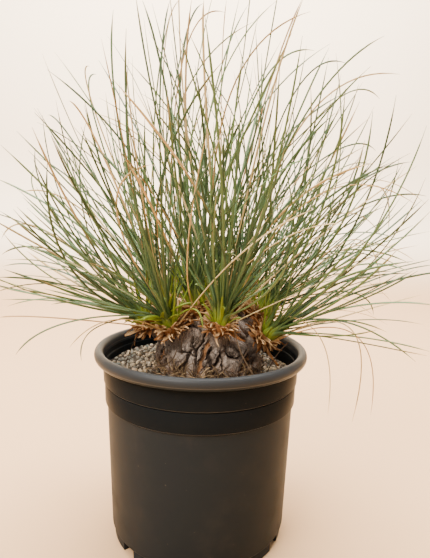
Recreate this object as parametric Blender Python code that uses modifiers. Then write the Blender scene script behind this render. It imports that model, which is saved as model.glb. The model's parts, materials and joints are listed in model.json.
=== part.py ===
"""A potted calibanus: a swollen, plated trunk that carries tufts of grassy leaves, in a black nursery pot.

Metres, +Z up. The origin is the middle of the pot's underside, and the side seen in the photograph faces -Y.
"""

import math
import random

import bmesh
import bpy
import numpy as np
from mathutils import Matrix, Vector

UP = Vector((0.0, 0.0, 1.0))
GOLDEN_ANGLE = math.radians(137.508)
SEAT_GAP = 0.0003

# Pot: a six and a half inch nursery pot with a rolled rim, two stepped bands and a wall that tapers to ten feet.
RIM_RADIUS = 0.0825
POT_HEIGHT = 0.149
RIM_ROLL_WIDTH = 0.0035
RIM_ROLL_HEIGHT = 0.0044
WALL = 0.0016
UPPER_BAND = ((0.0762, 0.1412), (0.0755, 0.1245))
LOWER_BAND = ((0.0747, 0.1236), (0.0744, 0.1085))
BODY_WALL = ((0.0727, 0.1076), (0.0692, 0.0090))
FOOT_RADIUS = 0.0674
FOOT_WIDTH = 0.0040
FLOOR_UNDERSIDE = 0.0050
FLOOR_THICKNESS = 0.0016
CENTRE_BOSS_RADIUS = 0.0120
POT_SIDES = 36
DRAIN_COUNT = 10
DRAIN_WIDTH = 0.0125
DRAIN_TOP = 0.0084
DRAIN_FIRST_ANGLE = math.radians(220.0)

# Gravel in the pot, a little higher at the left of the photograph.
GRAVEL_LEVEL = 0.1315
GRAVEL_TILT = -0.030
GRAIN_RELIEF = 0.0013
GRAVEL_RINGS = 6
GRAVEL_SEED = 11

# Trunk: a squat, boxy dome that is half buried, with corky plates between deep cracks.
TRUNK_CENTRE = Vector((0.006, 0.004, 0.130))
TRUNK_RADIUS = 0.0410
TRUNK_RISE = 0.0460
TRUNK_DEPTH = 0.0340
TRUNK_BOXINESS = 3.0
TRUNK_SIDES = 52
BURIED_CLIMBS = (-0.80, -0.45, -0.12)
SHOWN_RINGS = 12
SHOWN_RING_PACKING = 1.35
PLATE_COUNT = 40
PLATE_RISE = 0.0010
CRACK_DEPTH = 0.0034
CRACK_WIDTH = 0.0058
BARK_SEED = 5

# Heads: where each tuft sits on the trunk, as an angle round it, a distance from its axis, a height and a lean.
HEADS = (
    (192.0, 0.0490, 0.1680, 50.0),
    (226.0, 0.0415, 0.1700, 32.0),
    (175.0, 0.0320, 0.1780, 26.0),
    (236.0, 0.0200, 0.1810, 10.0),
    (280.0, 0.0385, 0.1735, 26.0),
    (2.0, 0.0170, 0.1822, 12.0),
    (350.0, 0.0400, 0.1740, 34.0),
    (328.0, 0.0475, 0.1620, 52.0),
    (88.0, 0.0230, 0.1800, 18.0),
    (45.0, 0.0400, 0.1720, 38.0),
    (112.0, 0.0450, 0.1660, 46.0),
    (143.0, 0.0430, 0.1690, 42.0),
)

# Leaves that stand out by themselves: the head that each grows from, whether it is dry, a point half way and its tip.
LONE_LEAVES = (
    (8, True, (0.103, -0.045, 0.174), (0.107, -0.05, 0.107)),
    (8, True, (0.099, -0.062, 0.175), (0.106, -0.085, 0.128)),
    (7, True, (0.076, -0.06, 0.174), (0.08, -0.08, 0.126)),
    (8, False, (0.107, -0.02, 0.173), (0.162, -0.025, 0.144)),
    (2, False, (-0.086, -0.06, 0.18), (-0.117, -0.075, 0.162)),
    (3, False, (-0.061, -0.008, 0.303), (-0.067, -0.005, 0.392)),
    (6, True, (0.073, -0.045, 0.264), (0.137, -0.06, 0.26)),
    (2, True, (-0.057, -0.055, 0.249), (-0.035, -0.062, 0.281)),
    (6, False, (0.062, -0.028, 0.31), (0.115, -0.04, 0.37)),
    (10, True, (0.073, 0.012, 0.319), (0.15, 0.015, 0.362)),
    (9, True, (0.044, 0.018, 0.332), (0.072, 0.02, 0.415)),
    (4, False, (-0.025, -0.014, 0.317), (-0.045, -0.02, 0.393)),
    (12, True, (-0.087, 0.0, 0.248), (-0.138, 0.005, 0.264)),
    (1, False, (-0.094, -0.022, 0.243), (-0.111, -0.028, 0.315)),
    (2, False, (-0.087, -0.055, 0.201), (-0.121, -0.08, 0.239)),
    (2, True, (-0.06, -0.058, 0.181), (-0.084, -0.075, 0.167)),
    (7, False, (0.111, 0.0, 0.216), (0.171, 0.005, 0.266)),
    (10, False, (0.12, 0.032, 0.236), (0.172, 0.042, 0.296)),
    (1, False, (-0.102, 0.005, 0.18), (-0.157, 0.008, 0.181)),
    (7, True, (0.109, -0.012, 0.234), (0.133, -0.02, 0.198)),
)
STUB_RADIUS = 0.0052
STUB_LENGTH = 0.020
CROWN_RADIUS = 0.0052
CROWN_SIDES = 8
CROWN_OUTLINE = ((0.88, 0.0), (1.0, 0.0045), (0.88, 0.0105), (0.36, 0.0165))

# Husk: the dry leaf bases that sleeve each crown, in two tiers of torn scales.
HUSK_SIDES = 14
HUSK_INNER_RADIUS = 0.0058
HUSK_FLARE = 0.0008
HUSK_RADIUS = 0.0082
HUSK_LOW = -0.0050
HUSK_HIGH = 0.0042
SCALE_REACH = 0.0042
SCALE_DROOP = 0.0030
HUSK_SEED = 23

# Leaves: a keeled, tapering blade on a line that starts along its heading and sinks under its own weight.
LEAF_STEPS = 25
LEAF_STRIDE = 5
GREEN_PER_HEAD = 17
DRY_PER_HEAD = 1
LEAF_TRIES = 90
LEAF_WIDTH = 0.0023
LEAF_TIP_SHARE = 0.32
TUFT_MIDDLE = (0.014, 0.0, 0.200)
TUFT_REACH = (0.158, 0.158, 0.225)
LEAF_THICKNESS = 0.5
LEAF_LEAST_THICKNESS = 0.0006
LEAF_CLEARANCE = 0.0006
LEAF_SEED = 71
ROOT_FREE = 0.028

# How the leaves vary: turns and the spread from the axis, lengths, and bends per metre of their length.
TURN_DRAW = 0.6
LEAST_SPREAD = 3.0
MOST_SPREAD = 49.0
SPREAD_POWER = 1.15
SPREAD_DRAW = 9.0
SHORT_LENGTH = (0.105, 0.215, 0.170)
TALL_LENGTH = (0.185, 0.280, 0.235)
SHORT_SHARE = 0.42
LEVEL_LOSS = 0.22
CROWDED_LOSS = 0.4
LEAST_CLIMB = 0.10
RISING_BEND = (-9.0, -1.0)
LEVEL_BEND = (-2.0, 4.0)
SINKING_BEND = (3.0, 13.0)
DRY_BEND = 3.0
DRY_LEAN = 0.5
SIDE_SWAY = 3.2
OUTWARD_SWAY = 2.4
WIDTH_SHARE = (0.82, 1.08)
DRY_WIDTH_SHARE = 0.85
DRY_AGE = 0.55

# Where leaves root, up a head's axis, and the room that they leave round the other pieces.
INNER_ROOT_HEIGHT = 0.0128
OUTER_ROOT_HEIGHT = 0.0073
LONE_ROOT_HEIGHT = 0.0100
DRY_ROOT_HEIGHT = 0.0012
ROOT_OFFSET = 0.35 * CROWN_RADIUS
DRY_ROOT_OFFSET = (HUSK_INNER_RADIUS + HUSK_RADIUS) / 2
TRUNK_ROOM = 0.006
POT_ROOM = 0.005
CROWN_ROOM = 0.0140
CROWN_CENTRE = 0.004
HUSK_ROOM = 0.0022

COLOURS = {
    "pot_plastic": ((0.021, 0.021, 0.022), 0.42),
    "gravel": ((0.36, 0.31, 0.25), 0.95),
    "bark": ((0.16, 0.125, 0.10), 0.92),
    "leaf_green": ((0.14, 0.22, 0.10), 0.55),
    "dry_leaf": ((0.55, 0.34, 0.16), 0.80),
}


def clear_scene():
    for obj in list(bpy.data.objects):
        bpy.data.objects.remove(obj)


def collection_named(name):
    collection = bpy.data.collections.new(name)
    bpy.context.scene.collection.children.link(collection)
    return collection


def material_named(name):
    colour, roughness = COLOURS[name]
    material = bpy.data.materials.get(name) or bpy.data.materials.new(name)
    material.use_nodes = True
    shader = material.node_tree.nodes["Principled BSDF"]
    shader.inputs["Base Color"].default_value = (*colour, 1.0)
    shader.inputs["Roughness"].default_value = roughness
    shader.inputs["Metallic"].default_value = 0.0
    return material


def object_from(mesh, name, collection, material):
    obj = bpy.data.objects.new(name, mesh)
    collection.objects.link(obj)
    mesh.materials.append(material_named(material))
    return obj


def loft(name, rings, first_pole=None, last_pole=None):
    """A mesh through rings of equally many points, closed at each end by a pole or by the end ring's own face."""
    shape = bmesh.new()
    rows = [[shape.verts.new(point) for point in ring] for ring in rings]
    sides = len(rings[0])
    for row, after in zip(rows, rows[1:]):
        for k in range(sides):
            m = (k + 1) % sides
            shape.faces.new((row[k], row[m], after[m], after[k]))
    for row, pole in ((rows[0], first_pole), (rows[-1], last_pole)):
        if pole is None:
            shape.faces.new(row)
            continue
        tip = shape.verts.new(pole)
        for k in range(sides):
            shape.faces.new((row[k], row[(k + 1) % sides], tip))
    bmesh.ops.recalc_face_normals(shape, faces=shape.faces)
    mesh = bpy.data.meshes.new(name)
    shape.to_mesh(mesh)
    shape.free()
    return mesh


def shells_of(shape):
    """The faces of each closed surface in a bmesh."""
    left = set(shape.faces)
    shells = []
    while left:
        shell, front = [], [left.pop()]
        while front:
            face = front.pop()
            shell.append(face)
            for edge in face.edges:
                for other in edge.link_faces:
                    if other in left:
                        left.remove(other)
                        front.append(other)
        shells.append(shell)
    return shells


def keep_body(mesh):
    """Drops every closed surface but the largest: the hollows that a union seals, and any loose scrap."""
    shape = bmesh.new()
    shape.from_mesh(mesh)
    shells = shells_of(shape)
    shells.sort(key=lambda shell: sum(face.calc_area() for face in shell))
    for shell in shells[:-1]:
        bmesh.ops.delete(shape, geom=list({vert for face in shell for vert in face.verts}), context="VERTS")
    shape.to_mesh(mesh)
    shape.free()


def fuse(body, pieces, solver="MANIFOLD"):
    """Joins the objects of a collection into body with one Boolean union, applies it and removes them."""
    if not pieces.objects:
        return
    union = body.modifiers.new("union", "BOOLEAN")
    union.operation = "UNION"
    union.operand_type = "COLLECTION"
    union.collection = pieces
    union.solver = solver
    bpy.context.view_layer.update()
    graph = bpy.context.evaluated_depsgraph_get()
    joined = bpy.data.meshes.new_from_object(body.evaluated_get(graph))
    body.modifiers.remove(union)
    keep_body(joined)
    old = body.data
    body.data = joined
    bpy.data.meshes.remove(old)
    for piece in list(pieces.objects):
        bpy.data.objects.remove(piece)
    bpy.data.collections.remove(pieces)


def circle(radius, z, sides):
    turns = (2 * math.pi * k / sides for k in range(sides))
    return [Vector((radius * math.cos(a), radius * math.sin(a), z)) for a in turns]


# Pot.


def inner_wall():
    """The inside of the pot's wall from the floor to under the rim, as (radius, height)."""
    floor_corner = (BODY_WALL[1][0] - WALL, FLOOR_UNDERSIDE + FLOOR_THICKNESS)
    bend = (BODY_WALL[0][0] - WALL, BODY_WALL[0][1] - WALL)
    return [floor_corner, bend, (UPPER_BAND[0][0] - WALL, UPPER_BAND[0][1])]


def rolled_rim(pieces=5):
    """The rim's rounded lip, from the mouth over the crest to its lower edge."""
    centre_radius = RIM_RADIUS - RIM_ROLL_WIDTH
    centre_height = POT_HEIGHT - RIM_ROLL_HEIGHT
    mouth, under = math.radians(158.0), math.radians(-62.0)
    angles = [mouth + (under - mouth) * k / pieces for k in range(pieces + 1)]
    return [
        (centre_radius + RIM_ROLL_WIDTH * math.cos(a), centre_height + RIM_ROLL_HEIGHT * math.sin(a)) for a in angles
    ]


def pot_outline():
    """Half section of the pot: up the inside from the floor's centre, over the rim and down the outside."""
    floor_top = FLOOR_UNDERSIDE + FLOOR_THICKNESS
    foot_inner = FOOT_RADIUS - FOOT_WIDTH
    underside = [
        (FOOT_RADIUS + 0.0006, BODY_WALL[1][1] - 0.0015),
        (FOOT_RADIUS, 0.0),
        (foot_inner, 0.0),
        (foot_inner, FLOOR_UNDERSIDE),
        (CENTRE_BOSS_RADIUS + 0.0006, FLOOR_UNDERSIDE),
        (CENTRE_BOSS_RADIUS, 0.0),
        (0.0, 0.0),
    ]
    return [(0.0, floor_top), *inner_wall(), *rolled_rim(), *UPPER_BAND, *LOWER_BAND, *BODY_WALL, *underside]


def make_pot(parts, cutters):
    outline = pot_outline()
    mesh = bpy.data.meshes.new("pot")
    mesh.from_pydata([(r, 0.0, z) for r, z in outline], [(k, k + 1) for k in range(len(outline) - 1)], [])
    pot = object_from(mesh, "pot", parts, "pot_plastic")
    screw = pot.modifiers.new("turn", "SCREW")
    screw.steps = screw.render_steps = POT_SIDES
    screw.use_merge_vertices = True
    screw.merge_threshold = 0.00005
    screw.use_smooth_shade = True
    for k in range(DRAIN_COUNT):
        angle = DRAIN_FIRST_ANGLE + 2 * math.pi * k / DRAIN_COUNT
        shape = bmesh.new()
        bmesh.ops.create_cube(shape, size=1.0)
        block = bpy.data.meshes.new(f"drain_{k:02d}")
        shape.to_mesh(block)
        shape.free()
        low, reach, depth = -0.001, FOOT_RADIUS, 0.014
        size = Matrix.Diagonal((depth, DRAIN_WIDTH, DRAIN_TOP - low, 1.0))
        place = Matrix.Translation((reach, 0.0, (DRAIN_TOP + low) / 2))
        block.transform(Matrix.Rotation(angle, 4, "Z") @ place @ size)
        cutters.objects.link(bpy.data.objects.new(block.name, block))
    drains = pot.modifiers.new("drains", "BOOLEAN")
    drains.operation = "DIFFERENCE"
    drains.operand_type = "COLLECTION"
    drains.collection = cutters
    for cutter in cutters.objects:
        cutter.hide_render = True
        cutter.display_type = "WIRE"
    return pot


# Trunk and gravel.


def trunk_point(angle, climb, swell=0.0):
    """A point of the trunk's smooth form: climb runs from -1 at the buried pole to 1 at the top."""
    power = 2.0 / TRUNK_BOXINESS
    rise = TRUNK_RISE if climb > 0 else TRUNK_DEPTH
    slope = climb * math.pi / 2
    lobes = 1.0 + 0.030 * math.cos(2 * angle + 0.4) + 0.022 * math.cos(3 * angle - 1.1)
    radius = TRUNK_RADIUS * lobes * max(0.0, math.cos(slope)) ** power + swell * math.cos(slope)
    height = math.copysign(abs(math.sin(slope)) ** power, climb) * rise + swell * math.sin(slope)
    return TRUNK_CENTRE + Vector((radius * math.cos(angle), radius * math.sin(angle), height))


def plate_seeds():
    """Middles of the bark's plates, spread over the trunk's upper half by the golden angle, with a small draw."""
    draw = random.Random(BARK_SEED)
    seeds = []
    for k in range(PLATE_COUNT):
        climb = 0.97 - 1.15 * (k + 0.5) / PLATE_COUNT
        angle = k * GOLDEN_ANGLE + draw.uniform(-0.25, 0.25)
        seeds.append(trunk_point(angle, climb + draw.uniform(-0.04, 0.04)))
    return np.array(seeds)


def bark_swell(point, seeds):
    """How far the bark stands out at a point: plates rise, the cracks between them are cut in."""
    squash = np.array((1.0, 1.0, 0.62))
    away = np.sort(np.linalg.norm((seeds - np.array(point)) * squash, axis=1))
    crack = math.exp(-(((away[1] - away[0]) / CRACK_WIDTH) ** 2))
    shown = min(1.0, max(0.0, (point.z - GRAVEL_LEVEL - 0.004) / 0.004))
    return shown * (PLATE_RISE - (PLATE_RISE + CRACK_DEPTH) * crack)


def head_frames():
    """For each head, the middle of its stub's end and the direction that it grows in."""
    frames = []
    for degrees, away, height, lean in HEADS:
        angle, tilt = math.radians(degrees), math.radians(lean)
        flat = Vector((math.cos(angle), math.sin(angle), 0.0))
        seat = Vector((TRUNK_CENTRE.x, TRUNK_CENTRE.y, height)) + flat * away
        frames.append((seat, flat * math.sin(tilt) + UP * math.cos(tilt)))
    return frames


def turned_to(axis, seat):
    return Matrix.Translation(seat) @ UP.rotation_difference(axis).to_matrix().to_4x4()


def make_trunk(parts):
    seeds = plate_seeds()
    rings = []
    shown = [(j / SHOWN_RINGS) ** SHOWN_RING_PACKING for j in range(SHOWN_RINGS)]
    for climb in (*BURIED_CLIMBS, *shown):
        ring = []
        for k in range(TRUNK_SIDES):
            angle = 2 * math.pi * k / TRUNK_SIDES
            ring.append(trunk_point(angle, climb, bark_swell(trunk_point(angle, climb), seeds)))
        rings.append(ring)
    mesh = loft("trunk", rings, trunk_point(0.0, -1.0), trunk_point(0.0, 1.0))
    trunk = object_from(mesh, "trunk", parts, "bark")
    stubs = collection_named("stubs")
    for seat, axis in head_frames():
        shape = bmesh.new()
        place = turned_to(axis, seat - axis * STUB_LENGTH / 2)
        wide = STUB_RADIUS * 1.5
        bmesh.ops.create_cone(
            shape, cap_ends=True, segments=10, radius1=wide, radius2=STUB_RADIUS, depth=STUB_LENGTH, matrix=place
        )
        stub = bpy.data.meshes.new("stub")
        shape.to_mesh(stub)
        shape.free()
        stubs.objects.link(bpy.data.objects.new("stub", stub))
    fuse(trunk, stubs)
    return trunk


def gravel_height(point, draw):
    """The gravel's surface under a point, raised into grains that are larger than life."""
    return GRAVEL_LEVEL + GRAVEL_TILT * point.x + draw.uniform(-GRAIN_RELIEF, GRAIN_RELIEF)


def make_soil(parts):
    draw = random.Random(GRAVEL_SEED)
    inset = SEAT_GAP + RIM_RADIUS * (1.0 - math.cos(math.pi / POT_SIDES))
    side = [(radius - inset, height) for radius, height in inner_wall() if height < GRAVEL_LEVEL - 0.004]
    bottom = side[0][1] + SEAT_GAP
    side[0] = (side[0][0], bottom)
    rings = [circle(radius, height, TRUNK_SIDES) for radius, height in side]
    (low_radius, low), (high_radius, high) = inner_wall()[1:]
    up = (GRAVEL_LEVEL - low) / (high - low)
    edge_radius = low_radius + (high_radius - low_radius) * up - inset
    steps = [k / GRAVEL_RINGS for k in range(GRAVEL_RINGS + 1)]
    for share in steps:
        ring = []
        for k, outer in enumerate(circle(edge_radius, 0.0, TRUNK_SIDES)):
            inner = trunk_point(2 * math.pi * k / TRUNK_SIDES, 0.0, PLATE_RISE + SEAT_GAP)
            jog = 0.0 if share in (0.0, 1.0) else draw.uniform(-0.25, 0.25) / GRAVEL_RINGS
            point = outer.lerp(inner, share + jog)
            point.z = gravel_height(point, draw)
            ring.append(point)
        rings.append(ring)
    for climb in reversed(BURIED_CLIMBS):
        rings.append([trunk_point(2 * math.pi * k / TRUNK_SIDES, climb, 2 * SEAT_GAP) for k in range(TRUNK_SIDES)])
    floor = trunk_point(0.0, -1.0, 2 * SEAT_GAP)
    mesh = loft("soil", rings, (0.0, 0.0, bottom), floor)
    return object_from(mesh, "soil", parts, "gravel")


# Leaves.


def leaf_line(root, heading, length, droop, sway):
    """Points along one leaf, which starts along its heading and bends down, and sideways by sway, as it goes."""
    points = [root]
    step = length / LEAF_STEPS
    direction = heading.normalized()
    for k in range(LEAF_STEPS):
        share = (k + 0.5) / LEAF_STEPS
        direction = (direction - UP * droop * share * step + sway * step).normalized()
        points.append(points[-1] + direction * step)
    return points


def leaf_width(share, width):
    return width * (1.0 - (1.0 - LEAF_TIP_SHARE) * share**1.4)


def bent_line(root, middle, tip):
    """Points along a leaf that passes near the middle point on its way to the tip."""
    pull = 2 * middle - (root + tip) / 2
    shares = (k / LEAF_STEPS for k in range(LEAF_STEPS + 1))
    return [root * (1 - t) ** 2 + pull * (2 * t * (1 - t)) + tip * t**2 for t in shares]


class Thicket:
    """The leaves placed so far, as straight stretches with radii, and the shapes that a leaf must not enter."""

    def __init__(self, frames):
        self.starts = np.zeros((0, 3))
        self.ends = np.zeros((0, 3))
        self.radii = np.zeros(0)
        self.owners = np.zeros(0, int)
        self.frames = frames
        self.crowns = np.array([seat + axis * CROWN_CENTRE for seat, axis in frames])

    def blocked(self, points, head):
        """True where the line enters the trunk, a husk, another head's crown or the pot, or leaves the tuft."""
        past_root = points[2:]
        flat = np.hypot(past_root[:, 0], past_root[:, 1])
        off_trunk = past_root - np.array(TRUNK_CENTRE)
        reach = np.hypot(off_trunk[:, 0], off_trunk[:, 1]) / (TRUNK_RADIUS + TRUNK_ROOM)
        climb = off_trunk[:, 2] / (TRUNK_RISE + POT_ROOM)
        in_trunk = reach**TRUNK_BOXINESS + np.abs(climb) ** TRUNK_BOXINESS < 1.0
        in_pot = (flat < RIM_RADIUS + POT_ROOM) & (past_root[:, 2] < POT_HEIGHT + POT_ROOM)
        outside = (((past_root - TUFT_MIDDLE) / TUFT_REACH) ** 2).sum(1).max() > 1.0
        others = np.delete(self.crowns, head, axis=0)
        nearest = np.linalg.norm(past_root[:, None] - others[None], axis=2).min()
        seat, axis = (np.array(v) for v in self.frames[head])
        height = (past_root - seat) @ axis
        off_axis = np.linalg.norm(past_root - seat - height[:, None] * axis, axis=1)
        in_husk = (height < HUSK_HIGH + HUSK_ROOM) & (off_axis < HUSK_RADIUS + SCALE_REACH)
        return bool(in_trunk.any() or in_pot.any() or in_husk.any() or nearest < CROWN_ROOM or outside)

    def gap(self, points, radii, owner):
        """The least clearance between the line and what stands already, apart from its own node near the root."""
        if not len(self.starts):
            return math.inf
        along = self.ends - self.starts
        offset = points[:, None] - self.starts[None]
        share = np.clip((offset * along).sum(2) / (along**2).sum(1), 0.0, 1.0)
        away = np.linalg.norm(offset - share[..., None] * along, axis=2) - radii[:, None] - self.radii[None]
        root = (np.linalg.norm(points - points[0], axis=1) < ROOT_FREE)[:, None] & (self.owners == owner)[None]
        return float(np.where(root, math.inf, away).min())

    def add(self, corners, radii, owner):
        corners = np.array(corners)
        self.starts = np.vstack((self.starts, corners[:-1]))
        self.ends = np.vstack((self.ends, corners[1:]))
        self.radii = np.append(self.radii, radii[:-1])
        self.owners = np.append(self.owners, np.full(len(corners) - 1, owner))


def owner_of(head, dry):
    return 2 * head + int(dry)


def draw_leaf(draw, seat, axis, age, turn, dry):
    """One leaf's root, heading, length, droop, sway and width: age runs from 0, inmost, to 1, outmost."""
    across = turned_to(axis, seat).to_3x3()
    around = turn * GOLDEN_ANGLE + draw.uniform(-TURN_DRAW, TURN_DRAW)
    opening = (MOST_SPREAD - LEAST_SPREAD) * age**SPREAD_POWER
    spread = math.radians(LEAST_SPREAD + opening + draw.uniform(-SPREAD_DRAW, SPREAD_DRAW))
    out = across @ Vector((math.cos(around), math.sin(around), 0.0))
    heading = axis * math.cos(spread) + out * math.sin(spread)
    level = math.hypot(heading.x, heading.y)
    height = INNER_ROOT_HEIGHT + (OUTER_ROOT_HEIGHT - INNER_ROOT_HEIGHT) * age
    root = seat + axis * height + out * ROOT_OFFSET
    short, tall = draw.triangular(*SHORT_LENGTH), draw.triangular(*TALL_LENGTH)
    length = (short if draw.random() < SHORT_SHARE else tall) * (1.0 - LEVEL_LOSS * level)
    droop = draw.choice((draw.uniform(*RISING_BEND), draw.uniform(*LEVEL_BEND), draw.uniform(*SINKING_BEND)))
    sideways = across @ Vector((-math.sin(around), math.cos(around), 0.0))
    sway = sideways * draw.uniform(-SIDE_SWAY, SIDE_SWAY)
    sway += out * draw.uniform(-OUTWARD_SWAY, OUTWARD_SWAY)
    width = LEAF_WIDTH * draw.uniform(*WIDTH_SHARE)
    if dry:
        root = seat + axis * DRY_ROOT_HEIGHT + out * DRY_ROOT_OFFSET
        heading = (heading + out * DRY_LEAN).normalized()
        droop += DRY_BEND
        width *= DRY_WIDTH_SHARE
    return root, heading, length, droop, sway, width


def grow_lone(frames, thicket):
    """The leaves that stand out, as a list of (head, dry, line, width, heading)."""
    grown = []
    for number, dry, middle, tip in LONE_LEAVES:
        head = number - 1
        seat, axis = frames[head]
        middle, tip = Vector(middle), Vector(tip)
        out = middle - seat
        out = (out - axis * out.dot(axis)).normalized()
        root = seat + axis * DRY_ROOT_HEIGHT + out * DRY_ROOT_OFFSET
        if not dry:
            root = seat + axis * LONE_ROOT_HEIGHT + out * ROOT_OFFSET
        line = bent_line(root, middle, tip)
        width = LEAF_WIDTH * (0.8 if dry else 1.0)
        radii = leaf_width(np.arange(LEAF_STEPS + 1) / LEAF_STEPS, width) / 2
        thicket.add(line[::LEAF_STRIDE], radii[::LEAF_STRIDE], owner_of(head, dry))
        grown.append((head, dry, line, width, line[1] - line[0]))
    return grown


def grow(frames, rounds, dry, draw, thicket):
    """Leaves for every head in turn, each drawn again until it clears what stands. Returns a list for each head."""
    grown = [[] for _ in frames]
    for turn in range(rounds):
        for head, (seat, axis) in enumerate(frames):
            for attempt in range(LEAF_TRIES):
                age = DRY_AGE if dry else (turn + 0.5) / rounds
                root, heading, length, droop, sway, width = draw_leaf(draw, seat, axis, age, turn, dry)
                length *= 1.0 - CROWDED_LOSS * attempt / LEAF_TRIES
                if heading.z < LEAST_CLIMB:
                    continue
                line = leaf_line(root, heading, length, droop, sway)
                points = np.array(line)
                shares = np.arange(LEAF_STEPS + 1) / LEAF_STEPS
                radii = leaf_width(shares, width) / 2
                if thicket.blocked(points, head):
                    continue
                fine = np.vstack((points, (points[1:] + points[:-1]) / 2))
                fine_radii = np.append(radii, radii[:-1])
                if thicket.gap(fine, fine_radii, owner_of(head, dry)) < LEAF_CLEARANCE:
                    continue
                thicket.add(line[::LEAF_STRIDE], radii[::LEAF_STRIDE], owner_of(head, dry))
                grown[head].append((line, width, heading))
                break
    return grown


def blade_mesh(line, width, heading):
    """A blade along every few points of a line: three sides, the flat one above and the keel below."""
    corners = line[::LEAF_STRIDE]
    side = heading.cross(UP)
    side = side.normalized() if side.length > 0.05 else Vector((1.0, 0.0, 0.0))
    rings = []
    for k, corner in enumerate(corners):
        before, after = corners[max(k - 1, 0)], corners[min(k + 1, len(corners) - 1)]
        ahead = (after - before).normalized()
        across = (side - ahead * side.dot(ahead)).normalized()
        keel = ahead.cross(across)
        wide = leaf_width(k / (len(corners) - 1), width)
        thick = max(LEAF_LEAST_THICKNESS, wide * LEAF_THICKNESS)
        rings.append((corner + across * wide / 2, corner - across * wide / 2, corner + keel * thick))
    return loft("blade", rings)


def make_leaves(parts, number, seat, axis, leaves):
    place = turned_to(axis, seat + axis * SEAT_GAP)
    rings = [[place @ p for p in circle(CROWN_RADIUS * wide, high, CROWN_SIDES)] for wide, high in CROWN_OUTLINE]
    crown = object_from(loft("crown", rings), f"leaves_{number:02d}", parts, "leaf_green")
    blades = collection_named("blades")
    for line, width, heading in leaves:
        blades.objects.link(bpy.data.objects.new("blade", blade_mesh(line, width, heading)))
    fuse(crown, blades)
    return crown


def husk_rings(draw):
    """Rings of a torn sleeve, standing on its own axis: every other side of both tiers reaches out as a scale."""
    rings = [[] for _ in range(6)]
    for k in range(HUSK_SIDES):
        angle = 2 * math.pi * k / HUSK_SIDES
        lower = draw.uniform(0.45, 1.0) if k % 2 else 0.0
        upper = draw.uniform(0.35, 0.9) if not k % 2 else 0.0
        middle = (HUSK_LOW + HUSK_HIGH) / 2
        section = (
            (HUSK_INNER_RADIUS + HUSK_FLARE, HUSK_LOW),
            (HUSK_RADIUS + SCALE_REACH * lower, HUSK_LOW - SCALE_DROOP * lower * 0.6),
            (HUSK_RADIUS + SCALE_REACH * lower * 0.35, middle - 0.0008),
            (HUSK_RADIUS + SCALE_REACH * upper * 0.75, middle + 0.0012 + 0.0010 * upper),
            (HUSK_RADIUS - 0.0006 + SCALE_REACH * upper * 0.1, HUSK_HIGH - 0.0004),
            (HUSK_INNER_RADIUS, HUSK_HIGH),
        )
        for ring, (radius, height) in zip(rings, section):
            ring.append(Vector((radius * math.cos(angle), radius * math.sin(angle), height)))
    return rings


def make_husk(parts, number, seat, axis, leaves, draw):
    place = turned_to(axis, seat)
    rings = [[place @ point for point in ring] for ring in husk_rings(draw)]
    shape = bmesh.new()
    rows = [[shape.verts.new(point) for point in ring] for ring in rings]
    for row, after in zip(rows, rows[1:] + rows[:1]):
        for k in range(HUSK_SIDES):
            m = (k + 1) % HUSK_SIDES
            shape.faces.new((row[k], row[m], after[m], after[k]))
    bmesh.ops.recalc_face_normals(shape, faces=shape.faces)
    mesh = bpy.data.meshes.new("husk")
    shape.to_mesh(mesh)
    shape.free()
    husk = object_from(mesh, f"husk_{number:02d}", parts, "dry_leaf")
    blades = collection_named("dry_blades")
    for line, width, heading in leaves:
        blades.objects.link(bpy.data.objects.new("blade", blade_mesh(line, width, heading)))
    fuse(husk, blades)
    return husk


def main():
    clear_scene()
    parts = collection_named("potted_calibanus")
    cutters = collection_named("cutters")
    make_pot(parts, cutters)
    make_soil(parts)
    make_trunk(parts)
    frames = head_frames()
    draw = random.Random(LEAF_SEED)
    thicket = Thicket(frames)
    lone = grow_lone(frames, thicket)
    green = grow(frames, GREEN_PER_HEAD, False, draw, thicket)
    dry = grow(frames, DRY_PER_HEAD, True, draw, thicket)
    for head, is_dry, *leaf in lone:
        (dry if is_dry else green)[head].append(leaf)
    husk_draw = random.Random(HUSK_SEED)
    for number, (seat, axis) in enumerate(frames):
        make_leaves(parts, number + 1, seat, axis, green[number])
        make_husk(parts, number + 1, seat, axis, dry[number], husk_draw)


main()
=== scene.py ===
"""Dresses the potted calibanus: moulded pot, loose grit, corky trunk, grassy leaves and their dry husks.

Metres, +Z up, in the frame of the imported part. The photograph's side faces -Y.
"""

import json
import math
import random

import bmesh
import bpy
import numpy as np
from mathutils import Matrix, Vector, noise

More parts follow.
